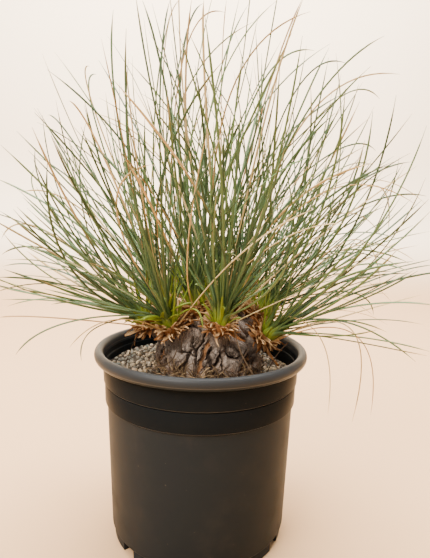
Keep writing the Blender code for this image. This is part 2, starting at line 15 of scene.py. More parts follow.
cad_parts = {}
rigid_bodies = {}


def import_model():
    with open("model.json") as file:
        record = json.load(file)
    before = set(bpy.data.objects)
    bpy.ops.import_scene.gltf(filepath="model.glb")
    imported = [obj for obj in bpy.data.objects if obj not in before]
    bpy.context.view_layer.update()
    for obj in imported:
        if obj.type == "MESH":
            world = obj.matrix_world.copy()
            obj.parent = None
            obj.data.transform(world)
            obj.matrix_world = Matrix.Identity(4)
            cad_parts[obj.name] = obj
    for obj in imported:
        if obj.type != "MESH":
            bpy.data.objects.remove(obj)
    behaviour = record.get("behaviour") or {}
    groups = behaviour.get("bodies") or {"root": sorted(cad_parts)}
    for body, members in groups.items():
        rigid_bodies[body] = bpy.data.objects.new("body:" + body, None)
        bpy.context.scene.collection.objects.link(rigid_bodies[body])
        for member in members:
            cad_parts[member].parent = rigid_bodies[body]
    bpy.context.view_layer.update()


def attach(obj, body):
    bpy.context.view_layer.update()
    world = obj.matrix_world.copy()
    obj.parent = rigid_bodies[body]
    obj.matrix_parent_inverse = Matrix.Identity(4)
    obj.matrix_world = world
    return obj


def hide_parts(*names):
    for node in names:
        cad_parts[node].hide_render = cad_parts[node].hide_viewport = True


bl_info = {
    "name": "Potted calibanus",
    "version": (1, 0, 0),
    "blender": (4, 5, 0),
    "location": "3D View > Sidebar > Calibanus",
    "description": "Builds the finished surfaces of a potted calibanus round its packed solids",
    "category": "Add Mesh",
}

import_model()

BODY = "root"
UP = Vector((0.0, 0.0, 1.0))
GOLDEN_ANGLE = math.radians(137.508)

# Pot section, in metres from the axis and from the ground.
RIM_RADIUS = 0.0825
POT_HEIGHT = 0.149
RIM_ROLL_WIDTH = 0.0035
RIM_ROLL_HEIGHT = 0.0044
WALL = 0.0016
UPPER_BAND = ((0.0762, 0.1412), (0.0755, 0.1245))
LOWER_BAND = ((0.0747, 0.1236), (0.0744, 0.1085))
BODY_WALL = ((0.0727, 0.1076), (0.0692, 0.0090))
FOOT_RADIUS = 0.0674
FOOT_WIDTH = 0.0040
FLOOR_UNDERSIDE = 0.0050
FLOOR_THICKNESS = 0.0016
CENTRE_BOSS_RADIUS = 0.0120
DRAIN_COUNT = 10
DRAIN_WIDTH = 0.0125
DRAIN_TOP = 0.0084
DRAIN_FIRST_ANGLE = math.radians(220.0)
DRAIN_ROUNDING = 0.0016
POT_BEND_SHARP = math.radians(32.0)
LATHE_LINES = 9000.0
# The pot's plastics: the name of each, how much darker than the body its painted shade makes it and its
# specular level.
PLASTICS = (
    ("pot_plastic_finish", 0.0, 0.05),
    ("pot_band_finish", 0.50, 0.015),
    ("pot_rim_finish", 0.0, 0.15),
)

# Gravel and trunk.
GRAVEL_LEVEL = 0.1315
GRAVEL_TILT = -0.030
TRUNK_CENTRE = Vector((0.006, 0.004, 0.130))
TRUNK_RADIUS = 0.0410
TRUNK_RISE = 0.0460
TRUNK_DEPTH = 0.0340
TRUNK_BOXINESS = 3.0
PLATE_COUNT = 40
BARK_SEED = 5
GRAIN_SHAPES = 8
BED_SIDES = 150
BED_STEPS = 22
BED_DEPTH = 0.012
BARE_RINGS = 2

# Heads, as an angle round the trunk, a distance from its axis, a height and a lean.
HEADS = (
    (192.0, 0.0490, 0.1680, 50.0),
    (226.0, 0.0415, 0.1700, 32.0),
    (175.0, 0.0320, 0.1780, 26.0),
    (236.0, 0.0200, 0.1810, 10.0),
    (280.0, 0.0385, 0.1735, 26.0),
    (2.0, 0.0170, 0.1822, 12.0),
    (350.0, 0.0400, 0.1740, 34.0),
    (328.0, 0.0475, 0.1620, 52.0),
    (88.0, 0.0230, 0.1800, 18.0),
    (45.0, 0.0400, 0.1720, 38.0),
    (112.0, 0.0450, 0.1660, 46.0),
    (143.0, 0.0430, 0.1690, 42.0),
)

# Leaves that stand out: the head that each grows from, whether it is dry, a point half way and its tip.
LONE_LEAVES = (
    (8, True, (0.103, -0.045, 0.174), (0.107, -0.05, 0.107)),
    (8, True, (0.099, -0.062, 0.175), (0.106, -0.085, 0.128)),
    (7, True, (0.076, -0.06, 0.174), (0.08, -0.08, 0.126)),
    (8, False, (0.107, -0.02, 0.173), (0.162, -0.025, 0.144)),
    (2, False, (-0.086, -0.06, 0.18), (-0.117, -0.075, 0.162)),
    (3, False, (-0.061, -0.008, 0.303), (-0.067, -0.005, 0.392)),
    (6, True, (0.073, -0.045, 0.264), (0.137, -0.06, 0.26)),
    (2, True, (-0.057, -0.055, 0.249), (-0.035, -0.062, 0.281)),
    (6, False, (0.062, -0.028, 0.31), (0.115, -0.04, 0.37)),
    (10, True, (0.073, 0.012, 0.319), (0.15, 0.015, 0.362)),
    (9, True, (0.044, 0.018, 0.332), (0.072, 0.02, 0.415)),
    (4, False, (-0.025, -0.014, 0.317), (-0.045, -0.02, 0.393)),
    (12, True, (-0.087, 0.0, 0.248), (-0.138, 0.005, 0.264)),
    (1, False, (-0.094, -0.022, 0.243), (-0.111, -0.028, 0.315)),
    (2, False, (-0.087, -0.055, 0.201), (-0.121, -0.08, 0.239)),
    (2, True, (-0.06, -0.058, 0.181), (-0.084, -0.075, 0.167)),
    (7, False, (0.111, 0.0, 0.216), (0.171, 0.005, 0.266)),
    (10, False, (0.12, 0.032, 0.236), (0.172, 0.042, 0.296)),
    (1, False, (-0.102, 0.005, 0.18), (-0.157, 0.008, 0.181)),
    (7, True, (0.109, -0.012, 0.234), (0.133, -0.02, 0.198)),
)

# Finer leaves that stand out, given in the same way, which only the finished tufts have.
FINE_LEAVES = (
    (4, False, (0.001, -0.03, 0.316), (0.042, -0.05, 0.385)),
    (5, True, (0.036, -0.045, 0.307), (0.058, -0.05, 0.386)),
    (5, True, (0.011, -0.04, 0.318), (0.064, -0.045, 0.381)),
    (6, False, (0.059, 0.0, 0.329), (0.103, 0.0, 0.364)),
    (7, False, (0.087, -0.01, 0.278), (0.11, -0.01, 0.347)),
    (9, False, (0.037, 0.03, 0.339), (0.088, 0.04, 0.385)),
    (3, True, (-0.032, 0.0, 0.34), (-0.02, 0.0, 0.403)),
    (2, False, (-0.032, -0.03, 0.317), (-0.026, -0.03, 0.39)),
    (4, False, (-0.015, -0.01, 0.318), (-0.012, -0.01, 0.399)),
    (5, False, (-0.001, -0.04, 0.319), (-0.004, -0.04, 0.387)),
    (11, False, (-0.021, 0.05, 0.353), (-0.003, 0.06, 0.425)),
    (6, True, (0.011, 0.0, 0.331), (0.013, 0.0, 0.404)),
    (12, True, (-0.021, 0.03, 0.357), (0.014, 0.03, 0.407)),
    (3, False, (-0.023, 0.0, 0.319), (0.033, 0.0, 0.39)),
    (3, True, (-0.078, 0.0, 0.314), (-0.085, 0.0, 0.355)),
    (12, False, (-0.085, 0.03, 0.315), (-0.088, 0.04, 0.36)),
    (2, False, (-0.067, -0.04, 0.285), (-0.088, -0.05, 0.32)),
    (12, False, (-0.098, 0.04, 0.293), (-0.13, 0.05, 0.329)),
    (1, False, (-0.107, -0.01, 0.246), (-0.122, -0.01, 0.295)),
    (12, False, (-0.12, 0.03, 0.242), (-0.139, 0.04, 0.284)),
    (1, False, (-0.103, -0.02, 0.222), (-0.141, -0.03, 0.25)),
    (12, False, (-0.117, 0.03, 0.217), (-0.164, 0.03, 0.214)),
    (1, False, (-0.109, 0.0, 0.205), (-0.152, 0.0, 0.208)),
    (2, False, (-0.097, -0.045, 0.192), (-0.131, -0.06, 0.202)),
    (2, True, (-0.1, -0.05, 0.18), (-0.132, -0.06, 0.182)),
    (1, True, (-0.12, 0.01, 0.234), (-0.156, 0.01, 0.228)),
    (10, False, (0.115, 0.02, 0.253), (0.184, 0.025, 0.27)),
    (8, False, (0.109, -0.03, 0.217), (0.154, -0.04, 0.265)),
    (9, True, (0.102, 0.02, 0.274), (0.182, 0.02, 0.263)),
    (6, True, (0.091, -0.01, 0.25), (0.132, -0.02, 0.236)),
    (7, True, (0.107, -0.01, 0.227), (0.159, -0.02, 0.219)),
    (10, True, (0.13, 0.03, 0.274), (0.156, 0.03, 0.236)),
    (7, False, (0.106, -0.02, 0.196), (0.125, -0.03, 0.181)),
    (10, False, (0.109, 0.03, 0.265), (0.18, 0.05, 0.3)),
    (7, False, (0.112, -0.01, 0.24), (0.143, -0.02, 0.292)),
    (6, False, (0.089, 0.01, 0.275), (0.132, 0.01, 0.292)),
    (11, False, (0.092, 0.05, 0.292), (0.156, 0.07, 0.311)),
    (9, False, (0.089, 0.03, 0.328), (0.145, 0.04, 0.349)),
)
STUB_RADIUS = 0.0052
STUB_LENGTH = 0.020
CROWN_RADIUS = 0.0052
CROWN_OUTLINE = ((0.2, 0.0002), (0.88, 0.0003), (1.0, 0.0045), (0.88, 0.0105), (0.36, 0.0165), (0.10, 0.0172))
CROWN_SHRINK = 0.80
CROWN_PLEAT = 0.07
CROWN_SIDES = 30
LEAF_SEAT = 0.35
HIGHEST_ROOT = 0.0128
ROOT_DROP = 0.0055
DRY_ROOT = 0.0012
HUSK_INNER_RADIUS = 0.0058
HUSK_RADIUS = 0.0082
HUSK_LOW = -0.0050
HUSK_HIGH = 0.0042
SCALE_REACH = 0.0042
SLEEVE = ((0.0066, -0.0050), (0.0078, -0.0050), (0.0080, -0.0010), (0.0071, 0.0030), (0.0058, 0.0036))
SLEEVE_SIDES = 32
SCALE_SHAPES = 6
SCALE_ROWS = 5

# Seams in the bark, as half the width of each and points along it. Fresh ones show new cork, the others gape.
FRESH_SEAMS = (
    (
        0.0014,
        (0.0076, -0.03, 0.1643),
        (0.0026, -0.0344, 0.1543),
        (-0.0016, -0.0354, 0.1457),
        (-0.0036, -0.0354, 0.1367),
    ),
    (0.0018, (-0.0227, -0.0163, 0.1619), (-0.0208, -0.0238, 0.1525)),
    (0.0017, (0.0387, -0.0187, 0.1501), (0.0313, -0.0276, 0.1365)),
)
OPEN_SEAMS = (
    (0.0010, (-0.0189, -0.0174, 0.1653), (-0.0194, -0.0227, 0.1583), (-0.0155, -0.0288, 0.1502)),
    (0.0009, (-0.0076, -0.0284, 0.1622), (-0.0083, -0.0311, 0.1562), (-0.0046, -0.0335, 0.1525)),
    (
        0.0011,
        (0.0025, -0.0279, 0.1667),
        (0.0003, -0.0319, 0.1603),
        (-0.0046, -0.0331, 0.1539),
        (-0.0051, -0.0350, 0.1380),
    ),
    (0.0012, (0.0105, -0.0320, 0.1604), (0.0062, -0.0345, 0.1544), (0.0020, -0.0358, 0.1466)),
    (0.0007, (0.0119, -0.0323, 0.1590), (0.0142, -0.0348, 0.1486), (0.0152, -0.0354, 0.1368)),
    (0.0012, (0.0163, -0.0329, 0.1548), (0.0201, -0.0326, 0.1502), (0.0247, -0.0310, 0.1468)),
    (0.0015, (0.0219, -0.0231, 0.1672), (0.0287, -0.0235, 0.1613), (0.0352, -0.0208, 0.1553)),
    (0.0011, (0.0415, -0.0162, 0.1431), (0.0401, -0.0188, 0.1321)),
    (0.0009, (-0.0280, -0.0138, 0.1542), (-0.0245, -0.0217, 0.1441), (-0.0220, -0.0248, 0.1375)),
    (0.0006, (-0.0177, -0.0271, 0.1505), (-0.0104, -0.0314, 0.1518), (-0.0052, -0.0340, 0.1489)),
    (0.0010, (-0.0341, -0.0011, 0.1482), (-0.0318, -0.0106, 0.1375)),
    (0.0006, (0.0247, -0.0310, 0.1468), (0.0310, -0.0268, 0.1478), (0.0352, -0.0214, 0.1539)),
    (0.0008, (0.0352, -0.0234, 0.1460), (0.0329, -0.0262, 0.1399), (0.0282, -0.0298, 0.1342)),
)
# Angles that the seams are repeated at, round the trunk, which the photograph doesn't show.
SEAM_TURNS = (0.0, 125.0, 243.0)
# Edges of the bark's layers beside a seam, as distances from it in its half widths and how dark the painted
# shade under each one is.
LAYER_EDGES = ((0.95, 0.45), (1.56, 0.72), (2.40, 0.50), (3.36, 0.64), (4.60, 0.40))

# The rule that places the leaves.
LEAF_STEPS = 25
LEAF_STRIDE = 5
GREEN_PER_HEAD = 17
DRY_PER_HEAD = 1
LEAF_TRIES = 90
LEAF_WIDTH = 0.0023
LEAF_TIP_SHARE = 0.32
TUFT_MIDDLE = (0.014, 0.0, 0.200)
TUFT_REACH = (0.158, 0.158, 0.225)
LEAF_CLEARANCE = 0.0006
# How far leaves stay from the trunk's sides and top, the pot, other heads' crowns and the top of their husk.
TRUNK_MARGIN, TRUNK_TOP_MARGIN = 0.006, 0.005
POT_MARGIN = 0.005
CROWN_MARGIN = 0.0140
HUSK_MARGIN = 0.0022
LEAF_SEED = 71
ROOT_FREE = 0.028
FINE_TRIES = 18
FINE_GREEN = 0.92
FINE_DRY = 0.70
FINE_DROOP = 1.25
WILD_SWAY = 5.4
WILD_LEAN = 0.26
# Heads with leaves that sink in long arcs, and how many each has.
ARCHING_LEAVES = ((1, 9), (2, 7), (12, 6), (3, 1), (7, 1), (11, 1))
BLADE_SLIMNESS = 0.88
# How full each head is, as shares of the extra green leaves and of the extra dry ones.
GREEN_FULLNESS = (0.60, 0.80, 0.80, 1.00, 1.20, 1.60, 1.50, 0.80, 1.30, 1.45, 1.00, 0.60)
DRY_FULLNESS = (0.5, 0.5, 1.5, 2.0, 1.0, 2.0, 1.0, 0.5, 2.0, 1.0, 1.0, 0.5)
FINE_MIDDLE = (0.008, 0.0, 0.200)
FINE_REACH = (0.178, 0.160, 0.225)
FINE_TIP_LEVEL = 0.165
# The extra leaves stay out of a space before the trunk: half its width, its back and its top.
CLEAR_FRONT = (0.060, -0.062, 0.210)
DIE_BACK_SHARE = 0.07
YOUTH = 0.09
THREAD_COUNT = 300

# Short, broad leaves low in front, each through three points and with its width.
SPROUTS = (
    (((-0.0228, -0.0340, 0.1820), (-0.0155, -0.0440, 0.1887), (-0.0081, -0.0440, 0.1906)), 0.0034),
    (((-0.0310, -0.0340, 0.1780), (-0.0372, -0.0455, 0.1808), (-0.0408, -0.0500, 0.1798)), 0.0034),
    (((-0.0239, -0.0340, 0.1770), (-0.0203, -0.0450, 0.1815), (-0.0169, -0.0490, 0.1834)), 0.0030),
    (((-0.0290, -0.0340, 0.1775), (-0.0280, -0.0440, 0.1830), (-0.0257, -0.0480, 0.1854)), 0.0030),
    (((-0.0200, -0.0330, 0.1770), (-0.0060, -0.0430, 0.1860), (-0.0003, -0.0490, 0.1734)), 0.0020),
    (((-0.0247, -0.0330, 0.1830), (-0.0226, -0.0430, 0.1937), (-0.0192, -0.0440, 0.1993)), 0.0028),
    (((-0.0300, -0.0335, 0.1760), (-0.0420, -0.0430, 0.1784), (-0.0493, -0.0480, 0.1765)), 0.0030),
)

# Loose straws on the gravel and the trunk, each through three points.
STRAWS = (
    ((0.029, -0.028, 0.187), (0.023, -0.044, 0.166), (0.041, -0.060, 0.135)),
    ((0.032, -0.046, 0.158), (0.027, -0.050, 0.152), (0.024, -0.053, 0.147)),
    ((0.062, -0.033, 0.160), (0.052, -0.038, 0.150), (0.044, -0.043, 0.136)),
    ((-0.046, -0.022, 0.162), (-0.051, -0.026, 0.155), (-0.056, -0.032, 0.139)),
    ((-0.013, -0.040, 0.168), (-0.015, -0.042, 0.160), (-0.014, -0.042, 0.153)),
    ((-0.026, -0.050, 0.138), (-0.018, -0.055, 0.135), (-0.010, -0.060, 0.134)),
    ((-0.030, -0.046, 0.146), (-0.022, -0.047, 0.150), (-0.018, -0.045, 0.158)),
)

# Colours that the settings don't hold.
# A painted highlight for the pot's step edges.
PAINTED_EDGE_HIGHLIGHT = (0.060, 0.056, 0.050)
BLUE_GRAIN = (0.098, 0.116, 0.110)
PINK_GRAIN = (0.40, 0.235, 0.150)
PALE_GRAIN = (0.60, 0.48, 0.34)
GRAIN_DIRT = (0.075, 0.064, 0.048)
DAMP_SOIL = (0.012, 0.009, 0.006)
DRY_SOIL = (0.070, 0.052, 0.036)
RUSTY_BARK = (0.16, 0.075, 0.034)
LEAF_BLOOM = (0.150, 0.205, 0.095)
BROWN_LEAF = (0.40, 0.21, 0.080)
CROWN_FOOT = (0.34, 0.20, 0.06)
THREADS = ((0.055, 0.030, 0.015), (0.20, 0.125, 0.062), (0.46, 0.31, 0.16))
THREAD_DIRT = (0.05, 0.028, 0.015)

# Stage. The camera's turns are its heading from +Y toward +X, how far it looks down and its roll, in degrees.
CAMERA_PLACE = (-0.0091, -0.3691, 0.2528)
CAMERA_TURNS = (2.89, 7.95, 1.39)
SENSOR_WIDTH = 36.0
SKY = ((1.0, 0.965, 0.92, 1.0), 0.42)
WARM, PLAIN = (1.0, 0.95, 0.88), (1.0, 0.98, 0.96)
LIT_MIDDLE = (0.0, 0.0, 0.18)


def colour_setting(name, description, default):
    return bpy.props.FloatVectorProperty(
        name=name, description=description, subtype="COLOR", size=3, default=default
    )


def length_setting(name, description, default):
    return bpy.props.FloatProperty(
        name=name, description=description, subtype="DISTANCE", unit="LENGTH", default=default
    )


def power_setting(name, description, default):
    return bpy.props.FloatProperty(name=name, description=description, unit="POWER", default=default)


def whole_setting(name, description, default, least, most):
    return bpy.props.IntProperty(name=name, description=description, default=default, min=least, max=most)


class PotSettings(bpy.types.PropertyGroup):
    """The moulded pot."""

    sides: whole_setting("Sides", "Facets round the pot", 160, 24, 400)
    plastic: colour_setting("Plastic", "Colour of the plastic", (0.0152, 0.0188, 0.0215))
    # The rim's colour is lighter than the plastic's: painted highlight on the rolled rim.
    rim: colour_setting("Rim", "Colour of the rubbed rim", (0.028, 0.029, 0.030))
    dust: colour_setting("Dust", "Colour of the dust and scuffs", (0.066, 0.056, 0.044))
    gloss: bpy.props.FloatProperty(
        name="Roughness",
        description="Roughness of clean plastic",
        subtype="FACTOR",
        default=0.30,
        min=0.0,
        max=1.0,
    )


class GravelSettings(bpy.types.PropertyGroup):
    """The loose grit on the soil."""

    grain: length_setting("Grain", "Mean width of a grain", 0.0053)
    spacing: length_setting("Spacing", "Least distance between grains", 0.0041)
    seed: whole_setting("Seed", "Seed of the scatter", 8, 0, 1000)
    grey: colour_setting("Grey grain", "Darker grains", (0.180, 0.158, 0.122))
    tan: colour_setting("Tan grain", "Lighter grains", (0.46, 0.35, 0.215))


class TrunkSettings(bpy.types.PropertyGroup):
    """The corky trunk."""

    around: whole_setting("Around", "Points round the trunk", 500, 36, 600)
    up: whole_setting("Up", "Rings up the trunk", 176, 20, 300)
    crack_depth: length_setting("Crack depth", "Depth of the cracks", 0.0027)
    crack_width: length_setting("Crack width", "Width of the cracks", 0.0020)
    cork: colour_setting("Cork", "Colour of the plates", (0.400, 0.312, 0.250))
    under: colour_setting("Under cork", "Colour of the lower layers", (0.165, 0.115, 0.080))
    # The crack colour is painted shade deep in the cracks, under the layers' edges and beside fresh seams; it
    # also colours the fine fissure lines.
    crack: colour_setting("Crack", "Colour deep in the cracks", (0.020, 0.011, 0.007))
    amber: colour_setting("Amber", "Fresh cork in some cracks", (0.33, 0.150, 0.060))


class LeafSettings(bpy.types.PropertyGroup):
    """The green leaves and the dry ones."""

    more: whole_setting("More leaves", "Extra leaves for each head, on average", 19, 0, 60)
    more_dry: whole_setting("More dry leaves", "Extra dry leaves for each head, on average", 2, 0, 20)
    young: whole_setting("Young leaves", "Short leaves round each crown", 15, 0, 60)
    green: colour_setting("Green", "Middle of a leaf", (0.094, 0.158, 0.048))
    shade: colour_setting("Deep green", "The darker leaves", (0.040, 0.076, 0.026))
    base: colour_setting("Base", "Yellow green near the crown", (0.215, 0.285, 0.018))
    straw: colour_setting("Straw", "Dry leaves and tips", (0.64, 0.440, 0.180))


class HuskSettings(bpy.types.PropertyGroup):
    """The dry scales round each crown."""

    scales: whole_setting("Scales", "Scales in each husk", 120, 10, 200)
    length: length_setting("Scale length", "Mean length of a scale", 0.0076)
    rust: colour_setting("Rust", "Older scales", (0.310, 0.120, 0.030))
    pale: colour_setting("Pale", "Newer scales", (0.92, 0.62, 0.32))


class StageSettings(bpy.types.PropertyGroup):
    """Floor, backdrop, lights and camera."""

    floor: colour_setting("Floor", "Colour of the floor", (0.56, 0.34, 0.17))
    wall: colour_setting("Backdrop", "Colour of the backdrop", (0.98, 0.82, 0.60))
    key: power_setting("Key light", "Power of the key", 42.0)
    fill: power_setting("Fill light", "Power of the fill", 1.6)
    lens: bpy.props.FloatProperty(name="Lens", description="Focal length", unit="CAMERA", default=30.97)


# Shapes that several pieces share.


def turns(count):
    """Angles that divide a full turn evenly."""
    return [math.tau * k / count for k in range(count)]


def level_way(angle):
    return Vector((math.cos(angle), math.sin(angle), 0.0))


def point_at(radius, angle, height):
    """A point at a radius from the Z axis."""
    return Vector((radius * math.cos(angle), radius * math.sin(angle), height))


def square_to(axis, way):
    """The direction of what is left of a vector when its part along the axis is taken away."""
    return (way - axis * way.dot(axis)).normalized()


def turned_to(axis, seat):
    return Matrix.Translation(seat) @ UP.rotation_difference(axis).to_matrix().to_4x4()


def smooth_step(low, high, value):
    share = min(1.0, max(0.0, (value - low) / (high - low)))
    return share * share * (3.0 - 2.0 * share)


def mesh_from(name, points, edges=(), faces=()):
    mesh = bpy.data.meshes.new(name)
    mesh.from_pydata(points, edges, faces)
    return mesh


def ring_faces(rows, sides, round_again=False):
    """The faces between neighbouring rings, and from the last ring to the first where they go round again."""
    faces = []
    for row in range(rows if round_again else rows - 1):
        upper, lower = row * sides, (row + 1) % rows * sides
        for k in range(sides):
            m = (k + 1) % sides
            faces.append((upper + k, upper + m, lower + m, lower + k))
    return faces


def loft(name, rings, first_pole=None, last_pole=None):
    """A mesh through rings of equally many points, closed at each end by a pole or by the ring's own face."""
    points = [point for ring in rings for point in ring]
    sides = len(rings[0])
    faces = ring_faces(len(rings), sides)
    for row, pole in ((0, first_pole), (len(rings) - 1, last_pole)):
        if pole is None:
            faces.append(tuple(row * sides + k for k in range(sides)))
            continue
        points.append(pole)
        tip = len(points) - 1
        faces += [(row * sides + k, row * sides + (k + 1) % sides, tip) for k in range(sides)]
    mesh = mesh_from(name, points, faces=faces)
    face_outward(mesh)
    return mesh


def face_outward(mesh):
    shape = bmesh.new()
    shape.from_mesh(mesh)
    bmesh.ops.recalc_face_normals(shape, faces=shape.faces)
    shape.to_mesh(mesh)
    shape.free()


def set_attribute(mesh, name, values, kind="FLOAT"):
    attribute = mesh.attributes.new(name, kind, "POINT")
    field = "vector" if kind == "FLOAT_VECTOR" else "value"
    attribute.data.foreach_set(field, np.array(values, np.float32).ravel())


def keep(collection, shape, name):
    """Puts a finished bmesh shape in a collection as an object."""
    mesh = bpy.data.meshes.new(name)
    shape.to_mesh(mesh)
    shape.free()
    collection.objects.link(bpy.data.objects.new(name, mesh))
    return mesh


def discard(collection):
    for obj in list(collection.objects):
        bpy.data.objects.remove(obj)
    bpy.data.collections.remove(collection)


def show(name, mesh, material=None):
    obj = bpy.data.objects.new(name, mesh)
    bpy.context.scene.collection.objects.link(obj)
    if material is not None:
        mesh.materials.clear()
        mesh.materials.append(material)
    return obj


def settle(obj, slot, *nodes):
    """The finished piece moves with the plant and stands for the given nodes; slot is not used."""
    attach(obj, BODY)
    if nodes:
        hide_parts(*nodes)


def joined(name, meshes):
    """One object from several meshes, which keep their materials and attributes."""
    objects = [show(name if number == 0 else f"{name}_more", mesh) for number, mesh in enumerate(meshes)]
    with bpy.context.temp_override(
        active_object=objects[0], selected_objects=objects, selected_editable_objects=objects
    ):
        bpy.ops.object.join()
    return objects[0]


# Node trees.


class Tree:
    """Builds a node tree: each call adds a node, links or sets its inputs and returns its first output."""

    def __init__(self, tree):
        self.tree = tree

    def add(self, kind, inputs=(), out=0, **settings):
        node = self.tree.nodes.new(kind)
        for name, value in settings.items():
            setattr(node, name, value)
        for key, value in dict(inputs).items():
            socket = node.inputs[key]
            if isinstance(value, bpy.types.NodeSocket):
                self.tree.links.new(value, socket)
            else:
                socket.default_value = value
        return node.outputs[out] if len(node.outputs) else node

    def maths(self, operation, a, b=0.0, clamp=False):
        return self.add("ShaderNodeMath", {0: a, 1: b}, operation=operation, use_clamp=clamp)

    def times(self, a, b):
        return self.maths("MULTIPLY", a, b)

    def plus(self, a, b, clamp=False):
        return self.maths("ADD", a, b, clamp)

    def ramp(self, value, low, high):
        inputs = {"Value": value, "From Min": low, "From Max": high}
        return self.add("ShaderNodeMapRange", inputs, interpolation_type="SMOOTHSTEP")

    def blend(self, share, a, b, mode="MIX"):
        node = self.tree.nodes.new("ShaderNodeMix")
        node.data_type, node.blend_type = "RGBA", mode
        for index, value in ((0, share), (6, a), (7, b)):
            if isinstance(value, bpy.types.NodeSocket):
                self.tree.links.new(value, node.inputs[index])
            elif index == 0:
                node.inputs[index].default_value = value
            else:
                node.inputs[index].default_value = (*value, 1.0)
        return node.outputs[2]

    def stain(self, colour, share, most, other):
        """The colour with another over it: where share is 1, most of it is the other."""
        return self.blend(self.times(share, most), colour, other)

    def noise(self, scale, detail=2.0, roughness=0.5, vector=None):
        inputs = {"Scale": scale, "Detail": detail, "Roughness": roughness, "Vector": vector or self.place()}
        return self.add("ShaderNodeTexNoise", inputs)

    def place(self, scale=(1.0, 1.0, 1.0)):
        spot = self.add("ShaderNodeTexCoord", out=3)
        return self.add("ShaderNodeMapping", {"Vector": spot, "Scale": scale})

    def split(self, vector):
        """A vector's X, Y and Z."""
        return self.add("ShaderNodeSeparateXYZ", {"Vector": vector}).node.outputs

    def fissures(self, scale, upright, width):
        """Thin, broken lines between cells that stand upright, 1 in the middle of a line."""
        spot = self.place((1.0, 1.0, upright))
        drift = self.noise(scale * 0.7, 3.0, 0.6, spot).node.outputs[1]
        inputs = {0: drift, 1: (1.3 / scale,) * 3, 2: spot}
        vector = self.add("ShaderNodeVectorMath", inputs, operation="MULTIPLY_ADD")
        inputs = {"Vector": vector, "Scale": scale}
        edge = self.add("ShaderNodeTexVoronoi", inputs, feature="DISTANCE_TO_EDGE")
        broken = self.ramp(self.noise(scale * 0.45), 0.40, 0.56)
        return self.times(self.ramp(edge, width, 0.0), broken)

    def attribute(self, name):
        return self.add("ShaderNodeAttribute", out=2, attribute_name=name)

    def stored(self, name, kind="FLOAT"):
        """What a Geometry Nodes tree finds stored on its points."""
        return self.add("GeometryNodeInputNamedAttribute", {"Name": name}, data_type=kind)

    def scatter(self, points, collection, count, seed, turn, size):
        """One of a collection's count objects on each point, drawn by the seed."""
        inputs = {"Collection": collection, "Separate Children": True, "Reset Children": True}
        pieces = self.add("GeometryNodeCollectionInfo", inputs)
        inputs = {"Points": points, "Instance": pieces, "Rotation": turn, "Scale": size}
        inputs.update({"Pick Instance": True, "Instance Index": self.random(0, count - 1, seed, "INT")})
        return self.add("GeometryNodeInstanceOnPoints", inputs)

    def random(self, low, high, seed, kind="FLOAT"):
        inputs = {"Min": low, "Max": high, "Seed": seed}
        out = ("FLOAT_VECTOR", "FLOAT", "INT").index(kind)
        return self.add("FunctionNodeRandomValue", inputs, out, data_type=kind)

    def bump(self, height, strength, distance):
        return self.add("ShaderNodeBump", {"Height": height, "Strength": strength, "Distance": distance})


def new_material(name, slot_values, build):
    """A material: its shader takes slot_values, and build returns the sockets that are linked to it."""
    material = bpy.data.materials.new(name)
    material.use_nodes = True
    nodes = material.node_tree
    shader = nodes.nodes["Principled BSDF"]
    for key, value in slot_values.items():
        shader.inputs[key].default_value = value
    for key, socket in build(Tree(nodes)).items():
        nodes.links.new(socket, shader.inputs[key])
    return material


def geometry_tree(name, sockets):
    """A Geometry Nodes tree with the named inputs, its builder and the sockets that the inputs come in by."""
    tree = bpy.data.node_groups.new(name, "GeometryNodeTree")
    tree.interface.new_socket(name="Geometry", in_out="OUTPUT", socket_type="NodeSocketGeometry")
    for label, kind in {"Geometry": "Geometry", **sockets, "Material": "Material"}.items():
        tree.interface.new_socket(name=label, in_out="INPUT", socket_type="NodeSocket" + kind)
    entry = tree.nodes.new("NodeGroupInput")
    return tree, Tree(tree), entry.outputs


def close_tree(build, geometry, material):
    geometry = build.add("GeometryNodeRealizeInstances", {"Geometry": geometry})
    geometry = build.add("GeometryNodeSetMaterial", {"Geometry": geometry, "Material": material})
    node = build.tree.nodes.new("NodeGroupOutput")
    build.tree.links.new(geometry, node.inputs["Geometry"])


def grown_mesh(mesh, tree, values):
    """The plain mesh that a Geometry Nodes tree makes of a mesh with the named input values."""
    carrier = show(mesh.name + "_carrier", mesh)
    modifier = carrier.modifiers.new("grow", "NODES")
    modifier.node_group = tree
    for item in tree.interface.items_tree:
        if item.in_out == "INPUT" and item.name in values:
            modifier[item.identifier] = values[item.name]
    bpy.context.view_layer.update()
    graph = bpy.context.evaluated_depsgraph_get()
    result = bpy.data.meshes.new_from_object(carrier.evaluated_get(graph))
    carrier.modifiers.remove(modifier)
    bpy.data.objects.remove(carrier)
    return result


# Finishes.


def scaled(colour, share):
    return tuple(c * share for c in colour)


